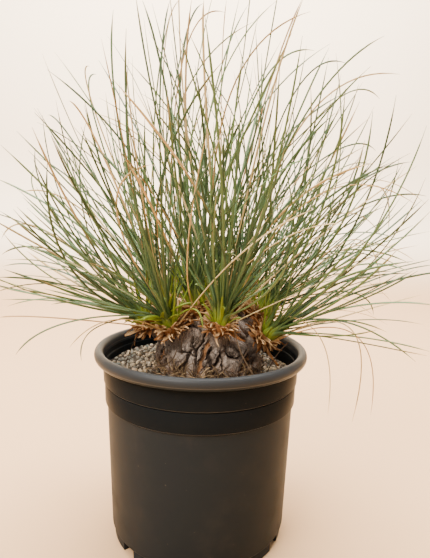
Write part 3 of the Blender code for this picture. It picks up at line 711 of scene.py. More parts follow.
def plastic_finish(name, settings, painted_shade, gleam):
    """The moulded plastic, darkened by a share of painted shade and with gleam as its specular level."""

    def build(t):
        x, y, height = t.split(t.place())
        radius = t.maths("SQRT", t.plus(t.maths("POWER", x, 2.0), t.maths("POWER", y, 2.0)))
        on_rim = t.ramp(height, 0.1420, 0.1472)
        on_body = t.ramp(height, 0.1090, 0.1060)
        low = t.ramp(height, 0.060, 0.0)
        lathe = t.maths("SINE", t.times(radius, LATHE_LINES))
        specks = t.ramp(t.noise(480.0), 0.755, 0.785)
        patches = t.ramp(t.noise(34.0, 4.0, 0.6), 0.48, 0.74)
        streaks = t.ramp(t.noise(120.0, 3.0, 0.6, t.place((1.0, 1.0, 0.08))), 0.52, 0.80)
        dusty = t.times(patches, t.plus(t.times(streaks, 0.5), 0.25))
        dusty = t.times(dusty, t.plus(t.times(on_body, 0.75), 0.25))
        dusty = t.plus(dusty, t.times(low, t.times(patches, 0.35)))
        dusty = t.plus(t.times(dusty, 0.32), t.times(specks, 0.90), True)
        # On the bands, painted shade darkens the plastic and thins its dust.
        dusty = t.times(dusty, 1.0 - painted_shade)
        # Toward the top the plastic turns to the rim colour, which is lighter as a painted highlight.
        colour = t.blend(on_rim, scaled(settings.plastic, 1.0 - painted_shade), settings.rim)
        # A thin painted highlight along the lower edge of each band and under the rim.
        for edge in (UPPER_BAND[1][1], LOWER_BAND[1][1], POT_HEIGHT - 1.40 * RIM_ROLL_HEIGHT):
            off = t.maths("ABSOLUTE", t.maths("SUBTRACT", height, edge + 0.0001))
            colour = t.stain(colour, t.ramp(off, 0.0005, 0.0001), 0.7, PAINTED_EDGE_HIGHLIGHT)
        colour = t.blend(dusty, colour, settings.dust)
        rough = t.plus(t.times(t.noise(60.0, 4.0), 0.10), settings.gloss - 0.04)
        rough = t.plus(rough, t.times(t.plus(on_rim, on_body), 0.14))
        rough = t.plus(rough, t.times(dusty, 0.8), True)
        relief = t.plus(t.times(t.noise(420.0, 3.0), 0.6), t.times(lathe, on_rim))
        return {"Base Color": colour, "Roughness": rough, "Normal": t.bump(relief, 0.10, 0.0002)}

    return new_material(name, {"Specular IOR Level": gleam}, build)


def gravel_finish(settings):
    def build(t):
        tone = t.attribute("tone")
        colour = t.blend(t.ramp(tone, 0.18, 0.72), settings.grey, settings.tan)
        bluish = t.ramp(t.maths("PINGPONG", t.times(tone, 9.7), 0.5), 0.30, 0.48)
        colour = t.stain(colour, bluish, 0.75, BLUE_GRAIN)
        pinkish = t.ramp(t.maths("PINGPONG", t.times(tone, 17.3), 0.5), 0.36, 0.46)
        colour = t.stain(colour, pinkish, 0.35, PINK_GRAIN)
        colour = t.blend(t.ramp(tone, 0.88, 0.95), colour, PALE_GRAIN)
        mottle = t.ramp(t.noise(900.0, 4.0, 0.7), 0.35, 0.70)
        colour = t.stain(colour, mottle, 0.40, GRAIN_DIRT)
        return {"Base Color": colour, "Normal": t.bump(t.noise(1400.0, 4.0, 0.7), 0.5, 0.0003)}

    return new_material("gravel_finish", {"Roughness": 0.93, "Specular IOR Level": 0.25}, build)


def soil_finish():
    def build(t):
        colour = t.blend(t.noise(300.0, 5.0, 0.7), DAMP_SOIL, DRY_SOIL)
        return {"Base Color": colour, "Normal": t.bump(t.noise(700.0, 5.0, 0.7), 0.8, 0.0008)}

    return new_material("soil_finish", {"Roughness": 0.97, "Specular IOR Level": 0.2}, build)


def bark_finish(settings):
    def build(t):
        depth, fresh, layer = t.attribute("depth"), t.attribute("fresh"), t.attribute("layer")
        cork, crack = settings.cork, settings.crack
        fine = t.noise(620.0, 6.0, 0.72)
        broad = t.noise(80.0, 4.0, 0.6, t.place((1.0, 1.0, 0.55)))
        colour = t.blend(t.ramp(broad, 0.34, 0.58), scaled(cork, 0.74), cork)
        colour = t.blend(t.ramp(layer, 0.14, 0.54), settings.under, colour)
        colour = t.blend(t.ramp(fine, 0.50, 0.74), colour, scaled(cork, 1.5))
        pits = t.ramp(t.noise(950.0, 4.0, 0.7), 0.44, 0.60)
        colour = t.stain(colour, pits, 0.60, scaled(cork, 0.45))
        splits = t.fissures(210.0, 0.42, 0.07)
        checks = t.fissures(620.0, 0.55, 0.11)
        colour = t.stain(colour, splits, 0.70, crack)
        colour = t.stain(colour, checks, 0.35, crack)
        low = t.ramp(t.split(t.place())[2], 0.150, 0.132)
        colour = t.stain(colour, low, t.ramp(fine, 0.40, 0.62), RUSTY_BARK)
        fibres = t.noise(420.0, 3.0, 0.6, t.place((1.0, 1.0, 0.12)))
        new_cork = t.blend(t.ramp(fibres, 0.36, 0.64), scaled(settings.amber, 0.30), settings.amber)
        colour = t.blend(t.ramp(fresh, 0.25, 0.75), colour, new_cork)
        # Painted shade: darker in the cracks, under the layers' edges and beside the fresh seams.
        colour = t.blend(t.ramp(depth, 0.40, 0.98), colour, crack)
        relief = t.plus(fine, t.times(t.noise(1500.0, 3.0), 0.4))
        relief = t.maths("SUBTRACT", relief, t.plus(splits, t.times(checks, 0.5)))
        return {"Base Color": colour, "Normal": t.bump(relief, 0.7, 0.0006)}

    return new_material("bark_finish", {"Roughness": 0.92, "Specular IOR Level": 0.22}, build)


def leaf_finish(settings):
    def build(t):
        along, across = t.attribute("along"), t.attribute("across")
        tone, dry = t.attribute("tone"), t.attribute("dryness")
        colour = t.blend(t.ramp(tone, 0.15, 0.85), settings.shade, settings.green)
        veins = t.maths("SINE", t.times(across, 22.0))
        colour = t.stain(colour, t.plus(veins, 1.0), 0.10, scaled(settings.shade, 0.5))
        colour = t.stain(colour, t.ramp(t.noise(180.0, 3.0), 0.40, 0.70), 0.22, LEAF_BLOOM)
        colour = t.stain(colour, t.ramp(along, 0.17, 0.02), 0.9, settings.base)
        aged = t.ramp(t.noise(70.0, 3.0), 0.58, 0.72)
        dry = t.plus(dry, t.times(aged, t.times(dry, 0.5)), True)
        straw = t.blend(t.noise(160.0, 3.0), scaled(settings.straw, 0.62), settings.straw)
        straw = t.blend(t.ramp(tone, 0.72, 1.0), straw, BROWN_LEAF)
        colour = t.blend(dry, colour, straw)
        rough = t.plus(t.times(dry, 0.26), 0.50)
        return {"Base Color": colour, "Roughness": rough, "Normal": t.bump(veins, 0.25, 0.0001)}

    return new_material("leaf_finish", {"Specular IOR Level": 0.38}, build)


def husk_finish(settings):
    def build(t):
        streaks = t.noise(900.0, 4.0, 0.6)
        colour = t.blend(t.ramp(t.attribute("tone"), 0.28, 0.88), settings.rust, settings.pale)
        colour = t.stain(colour, streaks, 0.45, scaled(settings.rust, 0.45))
        foot = t.ramp(t.attribute("along"), 0.80, 0.15)
        colour = t.stain(colour, foot, 0.70, scaled(settings.rust, 0.50))
        return {"Base Color": colour, "Normal": t.bump(streaks, 0.5, 0.0003)}

    return new_material("husk_finish", {"Roughness": 0.82, "Specular IOR Level": 0.3}, build)


def litter_finish():
    def build(t):
        tone = t.attribute("tone")
        colour = t.blend(t.ramp(tone, 0.15, 0.80), THREADS[0], THREADS[1])
        colour = t.blend(t.ramp(tone, 0.84, 0.92), colour, THREADS[2])
        colour = t.stain(colour, t.noise(600.0, 3.0), 0.5, THREAD_DIRT)
        return {"Base Color": colour, "Normal": t.bump(t.noise(1200.0, 3.0), 0.4, 0.0002)}

    return new_material("litter_finish", {"Roughness": 0.9, "Specular IOR Level": 0.2}, build)


def crown_finish(settings):
    def build(t):
        streaks = t.noise(500.0, 3.0, 0.6)
        colour = t.blend(t.ramp(t.attribute("along"), 0.0, 0.6), CROWN_FOOT, settings.base)
        colour = t.stain(colour, streaks, 0.5, scaled(settings.base, 0.35))
        return {"Base Color": colour, "Normal": t.bump(streaks, 0.5, 0.0004)}

    return new_material("crown_finish", {"Roughness": 0.6, "Specular IOR Level": 0.35}, build)


# Pot.


def rolled_rim(pieces):
    centre_radius = RIM_RADIUS - RIM_ROLL_WIDTH
    centre_height = POT_HEIGHT - RIM_ROLL_HEIGHT
    mouth, under = math.radians(158.0), math.radians(-62.0)
    angles = [mouth + (under - mouth) * k / pieces for k in range(pieces + 1)]
    return [
        (centre_radius + RIM_ROLL_WIDTH * math.cos(a), centre_height + RIM_ROLL_HEIGHT * math.sin(a))
        for a in angles
    ]


def stepped(band, soft=0.0004):
    """A band's outside, with its upper and lower edges a little rounded."""
    (upper_radius, upper), (lower_radius, lower) = band
    return [
        (upper_radius - soft, upper),
        (upper_radius - soft * 0.2, upper - soft * 0.4),
        (upper_radius, upper - soft * 1.2),
        (lower_radius, lower + soft * 1.6),
        (lower_radius - soft * 0.3, lower + soft * 0.5),
        (lower_radius - soft, lower),
    ]


def pot_outline():
    floor_top = FLOOR_UNDERSIDE + FLOOR_THICKNESS
    foot_inner = FOOT_RADIUS - FOOT_WIDTH
    inner = [
        (0.0, floor_top),
        (BODY_WALL[1][0] - WALL - 0.001, floor_top),
        (BODY_WALL[1][0] - WALL, floor_top + 0.001),
        (BODY_WALL[0][0] - WALL, BODY_WALL[0][1] - WALL),
        (0.0738, 0.1368),
        (0.0744, 0.1375),
        (UPPER_BAND[0][0] - WALL, UPPER_BAND[0][1]),
    ]
    body_radius, body_low = BODY_WALL[1]
    body = [
        (BODY_WALL[0][0], BODY_WALL[0][1]),
        (body_radius, body_low + 0.0006),
        (body_radius - 0.0005, body_low - 0.0006),
        (FOOT_RADIUS + 0.0008, body_low - 0.0014),
        (FOOT_RADIUS + 0.0003, body_low - 0.0020),
    ]
    underside = [
        (FOOT_RADIUS, 0.0004),
        (FOOT_RADIUS - 0.0004, 0.0),
        (foot_inner, 0.0),
        (foot_inner, FLOOR_UNDERSIDE),
        (CENTRE_BOSS_RADIUS + 0.0006, FLOOR_UNDERSIDE),
        (CENTRE_BOSS_RADIUS, 0.0),
        (0.0, 0.0),
    ]
    return inner + rolled_rim(pieces=22) + stepped(UPPER_BAND) + stepped(LOWER_BAND) + body + underside


def drain_blocks(collection):
    """A block with a rounded top for every drain notch, to be cut out of the pot's foot."""
    low, depth = -0.001, 0.014
    size = Matrix.Diagonal((depth, DRAIN_WIDTH, DRAIN_TOP - low, 1.0))
    seat = Matrix.Translation((FOOT_RADIUS, 0.0, (DRAIN_TOP + low) / 2))
    for turn in turns(DRAIN_COUNT):
        shape = bmesh.new()
        bmesh.ops.create_cube(shape, size=1.0)
        place = Matrix.Rotation(DRAIN_FIRST_ANGLE + turn, 4, "Z") @ seat
        bmesh.ops.transform(shape, matrix=place @ size, verts=shape.verts)
        top = [e for e in shape.edges if min(v.co.z for v in e.verts) > DRAIN_TOP - 0.0001]
        bmesh.ops.bevel(shape, geom=top, offset=DRAIN_ROUNDING, segments=3, affect="EDGES")
        keep(collection, shape, "drain")


def baked(obj):
    """The object's mesh with its modifiers applied."""
    bpy.context.view_layer.update()
    graph = bpy.context.evaluated_depsgraph_get()
    mesh = bpy.data.meshes.new_from_object(obj.evaluated_get(graph))
    obj.modifiers.clear()
    obj.data = mesh
    return mesh


class CALIBANUS_OT_pot(bpy.types.Operator):
    """Turn the moulded pot, cut its drains and give it its plastic"""

    bl_idname = "calibanus.pot"
    bl_label = "Pot"

    def execute(self, context):
        settings = context.scene.calibanus_pot
        points = [(radius, 0.0, height) for radius, height in pot_outline()]
        edges = [(k, k + 1) for k in range(len(points) - 1)]
        pot = show("nursery_pot", mesh_from("nursery_pot", points, edges))
        screw = pot.modifiers.new("turn", "SCREW")
        screw.steps = screw.render_steps = settings.sides
        screw.use_merge_vertices = True
        screw.merge_threshold = 0.00005
        cutters = bpy.data.collections.new("drains")
        context.scene.collection.children.link(cutters)
        drain_blocks(cutters)
        drains = pot.modifiers.new("drains", "BOOLEAN")
        drains.operation = "DIFFERENCE"
        drains.operand_type = "COLLECTION"
        drains.collection = cutters
        mesh = baked(pot)
        discard(cutters)
        face_outward(mesh)
        mesh.shade_smooth()
        mesh.set_sharp_from_angle(angle=POT_BEND_SHARP)
        mesh.materials.clear()
        for name, painted_shade, gleam in PLASTICS:
            mesh.materials.append(plastic_finish(name, settings, painted_shade, gleam))
        rim_foot = POT_HEIGHT - 2 * RIM_ROLL_HEIGHT + 0.0018
        # The bands take the plastic darkened by painted shade, and the rim's faces a plastic of higher specular
        # level.
        for face in mesh.polygons:
            radius, height = face.center.xy.length, face.center.z
            on_band = LOWER_BAND[1][1] - 0.0001 < height < rim_foot and radius < RIM_RADIUS - 0.0030
            on_rim = height > rim_foot and radius > RIM_RADIUS - 2 * RIM_ROLL_WIDTH
            face.material_index = 1 if on_band else 2 if on_rim else 0
        settle(pot, "pot_plastic", "pot")
        return {"FINISHED"}


# Gravel.


def trunk_point(angle, climb, swell=0.0):
    """A point of the trunk's smooth form: climb runs from -1 at the buried pole to 1 at the top."""
    power = 2.0 / TRUNK_BOXINESS
    rise = TRUNK_RISE if climb > 0 else TRUNK_DEPTH
    slope = climb * math.pi / 2
    lobes = 1.0 + 0.030 * math.cos(2 * angle + 0.4) + 0.022 * math.cos(3 * angle - 1.1)
    radius = TRUNK_RADIUS * lobes * max(0.0, math.cos(slope)) ** power + swell * math.cos(slope)
    height = math.copysign(abs(math.sin(slope)) ** power, climb) * rise + swell * math.sin(slope)
    return TRUNK_CENTRE + point_at(radius, angle, height)


def gravel_edge():
    """How far from the axis the gravel meets the pot's wall."""
    low_radius, low = BODY_WALL[0][0] - WALL, BODY_WALL[0][1] - WALL
    high_radius, high = UPPER_BAND[0][0] - WALL, UPPER_BAND[0][1]
    return low_radius + (high_radius - low_radius) * (GRAVEL_LEVEL - low) / (high - low) - 0.0004


def gravel_height(x):
    return GRAVEL_LEVEL + GRAVEL_TILT * x


def gravel_bed():
    """The soil's uneven top, as rings from the pot's wall in to the trunk."""
    rings = []
    for j in range(BED_STEPS + 1):
        ring = []
        for angle in turns(BED_SIDES):
            outer = point_at(gravel_edge(), angle, 0.0)
            point = outer.lerp(trunk_point(angle, 0.0, -0.001), j / BED_STEPS)
            bumps = noise.noise(point * 80.0) * 0.0020 + noise.noise(point * 230.0) * 0.0012
            point.z = gravel_height(point.x) + bumps - 0.0012
            ring.append(point)
        rings.append(ring)
    return rings


def grain_shapes(draw):
    """Angular little stones, about one unit across."""
    collection = bpy.data.collections.new("grains")
    for number in range(GRAIN_SHAPES):
        shape = bmesh.new()
        squash = (draw.uniform(0.9, 1.2), draw.uniform(0.75, 1.0), draw.uniform(0.60, 0.88))
        for _ in range(16):
            way = Vector((draw.gauss(0, 1), draw.gauss(0, 1), draw.gauss(0, 1))).normalized() * 0.5
            shape.verts.new([c * s * draw.uniform(0.84, 1.06) for c, s in zip(way, squash)])
        hull = bmesh.ops.convex_hull(shape, input=shape.verts)
        loose = {v for v in hull["geom_interior"] if isinstance(v, bmesh.types.BMVert)}
        bmesh.ops.delete(shape, geom=list(loose), context="VERTS")
        keep(collection, shape, f"grain_{number}").shade_smooth()
    return collection


def scatter_tree():
    """Drops turned grains of many sizes on a surface and stores a tone for each."""
    sockets = {"Grains": "Collection", "Grain width": "Float", "Spacing": "Float", "Seed": "Int"}
    tree, b, entry = geometry_tree("grit_scatter", sockets)
    inputs = {"Mesh": entry["Geometry"], "Distance Min": entry["Spacing"], "Density Max": 900000.0}
    inputs["Seed"] = entry["Seed"]
    points = b.add("GeometryNodeDistributePointsOnFaces", inputs, distribute_method="POISSON")
    turn = b.random((0.0, 0.0, 0.0), (6.283, 6.283, 6.283), entry["Seed"], "FLOAT_VECTOR")
    size = b.times(b.random(0.50, 1.15, 3), entry["Grain width"])
    grains = b.scatter(points, entry["Grains"], GRAIN_SHAPES, 5, turn, size)
    inputs = {"Geometry": grains, "Name": "tone", "Value": b.random(0.0, 1.0, 11)}
    grains = b.add("GeometryNodeStoreNamedAttribute", inputs, data_type="FLOAT", domain="INSTANCE")
    close_tree(b, grains, entry["Material"])
    return tree


class CALIBANUS_OT_gravel(bpy.types.Operator):
    """Lay the soil and scatter loose grit over it"""

    bl_idname = "calibanus.gravel"
    bl_label = "Gravel"

    def execute(self, context):
        settings = context.scene.calibanus_gravel
        rings = gravel_bed()
        low = GRAVEL_LEVEL - BED_DEPTH
        outer, inner = ([Vector((p.x, p.y, low)) for p in ring] for ring in (rings[0], rings[-1]))
        middle = Vector((0.0, 0.0, low))
        halfway = [middle.lerp(p, 0.5) for p in inner]
        body = loft("soil_fill", [outer, *rings, inner, halfway], middle, middle)
        body.shade_smooth()
        settle(show("soil_fill", body, soil_finish()), "gravel", "soil")
        points = [p for ring in rings[BARE_RINGS:] for p in ring]
        bed = mesh_from("bed", points, faces=ring_faces(len(rings) - BARE_RINGS, BED_SIDES))
        grains = grain_shapes(random.Random(settings.seed))
        values = {
            "Grains": grains,
            "Grain width": settings.grain,
            "Spacing": settings.spacing,
            "Seed": settings.seed,
            "Material": gravel_finish(settings),
        }
        settle(show("grit", grown_mesh(bed, scatter_tree(), values)), "gravel")
        discard(grains)
        return {"FINISHED"}


# Trunk.


def plate_seeds():
    draw = random.Random(BARK_SEED)
    seeds = []
    for k in range(PLATE_COUNT):
        climb = 0.97 - 1.15 * (k + 0.5) / PLATE_COUNT
        angle = k * GOLDEN_ANGLE + draw.uniform(-0.25, 0.25)
        seeds.append(trunk_point(angle, climb + draw.uniform(-0.04, 0.04)))
    return np.array(seeds)


def head_frames():
    """For each head, the middle of its neck's end and the direction that it grows in."""
    frames = []
    for degrees, away, height, lean in HEADS:
        angle, tilt = math.radians(degrees), math.radians(lean)
        flat = level_way(angle)
        seat = Vector((TRUNK_CENTRE.x, TRUNK_CENTRE.y, height)) + flat * away
        frames.append((seat, flat * math.sin(tilt) + UP * math.cos(tilt)))
    return frames


def near_seams(spots, seams):
    """For each spot, given from the trunk's middle, the nearest seam's distance in half widths of that seam."""
    nearest = np.full(len(spots), 9.0)
    for turn in SEAM_TURNS:
        spin = np.array(Matrix.Rotation(math.radians(turn), 3, "Z"))
        for half, *points in seams:
            corners = [spin @ (np.array(point) - np.array(TRUNK_CENTRE)) for point in points]
            for k, (upper, lower) in enumerate(zip(corners, corners[1:])):
                run = lower - upper
                out = (upper + lower) / np.linalg.norm(upper + lower)
                off = spots - upper
                share = np.clip(off @ run / (run @ run), 0.0, 1.0)
                off = off - share[:, None] * run
                off -= (off @ out)[:, None] * out
                along = (k + share) / (len(corners) - 1)
                wide = half * (1.0 - 0.6 * np.abs(2 * along - 1) ** 3)
                away = np.where(spots @ out > 0.015, np.linalg.norm(off, axis=1) / wide, 9.0)
                nearest = np.minimum(nearest, away)
    return nearest


def bark_relief(points, settings):
    """Four values for each point.

    They are how far the bark stands out, how dark the painted shade in cracks, under the layers' edges and
    beside fresh seams makes it, how fresh its cork is and how high its layer is.
    """
    seeds = plate_seeds()
    squash = np.array((1.0, 1.0, 0.62))
    noise.seed_set(BARK_SEED)
    warped, drifted = [], []
    for v in points:
        fine = noise.noise_vector(v * 300.0) * 0.0009
        moved = v + noise.noise_vector(v * 45.0) * 0.0030
        warped.append(moved + noise.noise_vector(v * 150.0) * 0.0013 + fine)
        drifted.append(v + noise.noise_vector(v * 130.0) * 0.0010 + fine)
    away = np.linalg.norm((seeds[None] - np.array(warped)[:, None]) * squash, axis=2)
    order = np.sort(away, axis=1)
    edges = order[:, 1] - order[:, 0]
    spots = np.array(drifted) - np.array(TRUNK_CENTRE)
    new_edges, open_edges = near_seams(spots, FRESH_SEAMS), near_seams(spots, OPEN_SEAMS) * 1.25
    plates = away.argmin(axis=1)
    rises, depths, fresh, layers = [], [], [], []
    for v, bent, edge, new, gape, plate in zip(points, warped, edges, new_edges, open_edges, plates):
        new *= 1.0 + 0.55 * noise.noise(v * 230.0) + 0.35 * noise.noise(v * 700.0)
        seam = math.exp(-(new**4))
        open_share = smooth_step(-0.30, 0.35, noise.noise(v * 46.0))
        width = settings.crack_width * (0.30 + 0.80 * open_share)
        cut = math.exp(-((edge / width) ** 4)) * (0.25 + 0.60 * open_share)
        cut = max(cut, math.exp(-(gape**4))) * (1.0 - seam)
        back = min(edge / 0.0013, gape, new) + noise.noise(v * 260.0) * 0.7 + noise.noise(v * 90.0) * 0.6
        steps = smooth_step(1.55, 1.80, back), smooth_step(3.35, 3.60, back)
        broken = smooth_step(-0.5, 0.3, noise.noise(v * 170.0))
        # Painted shade under the edges of the bark's layers.
        ledge_shade = sum(dark * broken * math.exp(-(((back - far) / 0.17) ** 2)) for far, dark in LAYER_EDGES)
        gaps, cells = noise.voronoi(Vector((bent.x, bent.y, bent.z * 0.50)) * 165.0)
        flake, beside = noise.cell(cells[0] * 7.3), noise.cell(cells[1] * 7.3)
        split = math.exp(-(((gaps[1] - gaps[0]) / 0.075) ** 2)) * min(1.0, 1.4 * abs(flake - beside))
        rough = noise.fractal(v * 560.0, 0.7, 2.1, 3) * 0.00030
        lift = 0.0009 * steps[0] + 0.0007 * steps[1] + 0.0006 * flake + 0.0003 * math.sin(plate * 2.4)
        lift = lift + rough - 0.0013
        lift -= settings.crack_depth * cut + 0.0006 * split + 0.0012 * seam
        shown = smooth_step(GRAVEL_LEVEL - 0.004, GRAVEL_LEVEL + 0.002, v.z)
        rises.append(lift * shown)
        # A ring of painted shade beside each fresh seam. With the cracks and the layers' edges, it makes the
        # painted shade that the depth attribute carries.
        rim = math.exp(-(((new - 1.45) / 0.36) ** 2))
        depths.append(max(cut, rim, ledge_shade * (1.0 - seam), 0.60 * split * (1.0 - seam)) * shown)
        fresh.append(seam)
        layers.append(0.30 * steps[0] + 0.35 * steps[1] + 0.22 * flake + 0.10)
    return rises, depths, fresh, layers


def neck_mesh(seat, axis):
    """A stout, rough neck, from inside the trunk to the seat of its head."""
    place = turned_to(axis, seat)
    sides, rows = 30, 10
    rings, depths = [], []
    for j in range(rows + 1):
        share = j / rows
        radius = STUB_RADIUS * (1.5 - 0.5 * share)
        ring = []
        for way in map(level_way, turns(sides)):
            spot = place @ (way * radius + UP * (STUB_LENGTH * (share - 1.0) - 0.0002))
            bump = noise.fractal(spot * 320.0, 0.9, 2.1, 3)
            ring.append(spot + place.to_3x3() @ way * (0.0006 * bump - 0.0001))
            depths.append(0.35 + 0.3 * bump)
        rings.append(ring)
    mesh = loft("neck", rings)
    set_attribute(mesh, "depth", depths)
    set_attribute(mesh, "fresh", [0.0] * len(depths))
    set_attribute(mesh, "layer", [0.3] * len(depths))
    return mesh


class CALIBANUS_OT_trunk(bpy.types.Operator):
    """Raise the corky trunk, its cracks and the necks under the heads"""

    bl_idname = "calibanus.trunk"
    bl_label = "Trunk"

    def execute(self, context):
        settings = context.scene.calibanus_trunk
        climbs = [-0.8 + 0.8 * j / 6 for j in range(6)]
        climbs += [(j / settings.up) ** 1.35 * 0.995 for j in range(settings.up)]
        spots = [(angle, climb) for climb in climbs for angle in turns(settings.around)]
        plain = [trunk_point(angle, climb) for angle, climb in spots]
        rises, depths, fresh, layers = bark_relief(plain, settings)
        points = [trunk_point(angle, climb, rise) for (angle, climb), rise in zip(spots, rises)]
        rings = [points[k : k + settings.around] for k in range(0, len(points), settings.around)]
        mesh = loft("trunk_bark", rings, trunk_point(0.0, -1.0), trunk_point(0.0, 1.0))
        set_attribute(mesh, "depth", [*depths, 0.0, 0.2])
        set_attribute(mesh, "fresh", [*fresh, 0.0, 0.0])
        set_attribute(mesh, "layer", [*layers, 0.0, 0.5])
        trunk = joined("trunk_bark", [mesh, *(neck_mesh(seat, axis) for seat, axis in head_frames())])
        trunk.data.shade_smooth()
        trunk.data.materials.append(bark_finish(settings))
        settle(trunk, "bark", "trunk")
        return {"FINISHED"}


# Leaves.


def leaf_line(root, heading, length, droop, sway):
    points = [root]
    step = length / LEAF_STEPS
    direction = heading.normalized()
    for k in range(LEAF_STEPS):
        share = (k + 0.5) / LEAF_STEPS
        direction = (direction - UP * droop * share * step + sway * step).normalized()
        points.append(points[-1] + direction * step)
    return points


def leaf_width(share, width):
    return width * (1.0 - (1.0 - LEAF_TIP_SHARE) * share**1.4)


def leaf_radii(width):
    return leaf_width(np.arange(LEAF_STEPS + 1) / LEAF_STEPS, width) / 2


def fine_line(points, count=LEAF_STEPS + 1):
    """A smooth line through three points."""
    root, middle, tip = (Vector(p) for p in points)
    pull = 2 * middle - (root + tip) / 2
    shares = (k / (count - 1) for k in range(count))
    return [root * (1 - t) ** 2 + pull * (2 * t * (1 - t)) + tip * t**2 for t in shares]


def green_root(seat, axis, out, height):
    """Where a green leaf leaves the crown."""
    return seat + axis * height + out * CROWN_RADIUS * LEAF_SEAT


def dry_root(seat, axis, out):
    """Where a dry leaf leaves the husk."""
    return seat + axis * DRY_ROOT + out * (HUSK_INNER_RADIUS + HUSK_RADIUS) / 2


class Thicket:
    """The leaves placed so far, as straight stretches with radii, and what a leaf must not enter."""

    def __init__(self, frames):
        self.starts = np.zeros((0, 3))
        self.ends = np.zeros((0, 3))
        self.radii = np.zeros(0)
        self.owners = np.zeros(0, int)
        self.frames = frames
        self.middle, self.reach = TUFT_MIDDLE, TUFT_REACH
        self.crowns = np.array([seat + axis * 0.004 for seat, axis in frames])

    def blocked(self, points, head):
        """True where the line enters the trunk, a husk, another crown or the pot, or leaves the tuft."""
        past_root = points[2:]
        flat = np.hypot(past_root[:, 0], past_root[:, 1])
        off_trunk = past_root - np.array(TRUNK_CENTRE)
        reach = np.hypot(off_trunk[:, 0], off_trunk[:, 1]) / (TRUNK_RADIUS + TRUNK_MARGIN)
        climb = off_trunk[:, 2] / (TRUNK_RISE + TRUNK_TOP_MARGIN)
        in_trunk = reach**TRUNK_BOXINESS + np.abs(climb) ** TRUNK_BOXINESS < 1.0
        in_pot = (flat < RIM_RADIUS + POT_MARGIN) & (past_root[:, 2] < POT_HEIGHT + POT_MARGIN)
        outside = (((past_root - self.middle) / self.reach) ** 2).sum(1).max() > 1.0
        others = np.delete(self.crowns, head, axis=0)
        nearest = np.linalg.norm(past_root[:, None] - others[None], axis=2).min()
        seat, axis = (np.array(v) for v in self.frames[head])
        height = (past_root - seat) @ axis
        off_axis = np.linalg.norm(past_root - seat - height[:, None] * axis, axis=1)
        in_husk = (height < HUSK_HIGH + HUSK_MARGIN) & (off_axis < HUSK_RADIUS + SCALE_REACH)
        return bool(in_trunk.any() or in_pot.any() or in_husk.any() or nearest < CROWN_MARGIN or outside)

    def gap(self, points, radii, owner):
        """The least clearance between the line and what stands, apart from its own node near the root."""
        if not len(self.starts):
            return math.inf
        along = self.ends - self.starts
        offset = points[:, None] - self.starts[None]
        share = np.clip((offset * along).sum(2) / (along**2).sum(1), 0.0, 1.0)
        away = np.linalg.norm(offset - share[..., None] * along, axis=2) - radii[:, None] - self.radii[None]
        near_root = np.linalg.norm(points - points[0], axis=1) < ROOT_FREE
        free = near_root[:, None] & (self.owners == owner)[None]
        return float(np.where(free, math.inf, away).min())

    def takes(self, line, width, head, dry, clearance):
        """Places the line where nothing blocks it, and says whether it did."""
        points, radii = np.array(line), leaf_radii(width)
        if self.blocked(points, head):
            return False
        fine = np.vstack((points, (points[1:] + points[:-1]) / 2))
        fine_radii = np.append(radii, radii[:-1])
        if self.gap(fine, fine_radii, owner_of(head, dry)) < clearance:
            return False
        self.add(line, width, owner_of(head, dry))
        return True

    def add(self, line, width, owner):
        corners, radii = np.array(line[::LEAF_STRIDE]), leaf_radii(width)[::LEAF_STRIDE]
        self.starts = np.vstack((self.starts, corners[:-1]))
        self.ends = np.vstack((self.ends, corners[1:]))
        self.radii = np.append(self.radii, radii[:-1])
        self.owners = np.append(self.owners, np.full(len(corners) - 1, owner))


def owner_of(head, dry):
    return 2 * head + int(dry)


def draw_leaf(draw, seat, axis, age, turn, dry):
    """One leaf's root, heading, length, droop, sway and width: age runs from 0, inmost, to 1, outmost."""
    across = turned_to(axis, seat).to_3x3()
    around = turn * GOLDEN_ANGLE + draw.uniform(-0.6, 0.6)
    spread = math.radians(3.0 + 46.0 * age**1.15 + draw.uniform(-9.0, 9.0))
    out = across @ level_way(around)
    heading = axis * math.cos(spread) + out * math.sin(spread)
    level = math.hypot(heading.x, heading.y)
    root = green_root(seat, axis, out, HIGHEST_ROOT - ROOT_DROP * age)
    short, tall = draw.triangular(0.105, 0.215, 0.170), draw.triangular(0.185, 0.280, 0.235)
    length = (short if draw.random() < 0.42 else tall) * (1.0 - 0.22 * level)
    droop = draw.choice((draw.uniform(-9.0, -1.0), draw.uniform(-2.0, 4.0), draw.uniform(3.0, 13.0)))
    sway = (across @ Vector((-math.sin(around), math.cos(around), 0.0))) * draw.uniform(-3.2, 3.2)
    sway += out * draw.uniform(-2.4, 2.4)
    width = LEAF_WIDTH * draw.uniform(0.82, 1.08)
    if dry:
        root = dry_root(seat, axis, out)
        heading = (heading + out * 0.5).normalized()
        droop += 3.0
        width *= 0.85
    return root, heading, length, droop, sway, width


def grow_lone(leaves, frames, thicket):
    """The leaves that stand out, as a list of (head, dry, line, width, heading)."""
    grown = []
    for number, dry, middle, tip in leaves:
        head = number - 1
        seat, axis = frames[head]
        out = square_to(axis, Vector(middle) - seat)
        root = dry_root(seat, axis, out) if dry else green_root(seat, axis, out, 0.0100)
        line = fine_line((root, middle, tip))
        width = LEAF_WIDTH * (0.8 if dry else 1.0)
        thicket.add(line, width, owner_of(head, dry))
        grown.append((head, dry, line, width, line[1] - line[0]))
    return grown


def too_low(line):
    """True where a leaf would hang over the pot's mouth or in front of the trunk."""
    over_pot = any(p.z < FINE_TIP_LEVEL and p.xy.length < RIM_RADIUS + 0.015 for p in line[2:])
    in_front = any(abs(p.x) < CLEAR_FRONT[0] and p.y < CLEAR_FRONT[1] and p.z < CLEAR_FRONT[2] for p in line)
    return over_pot or in_front


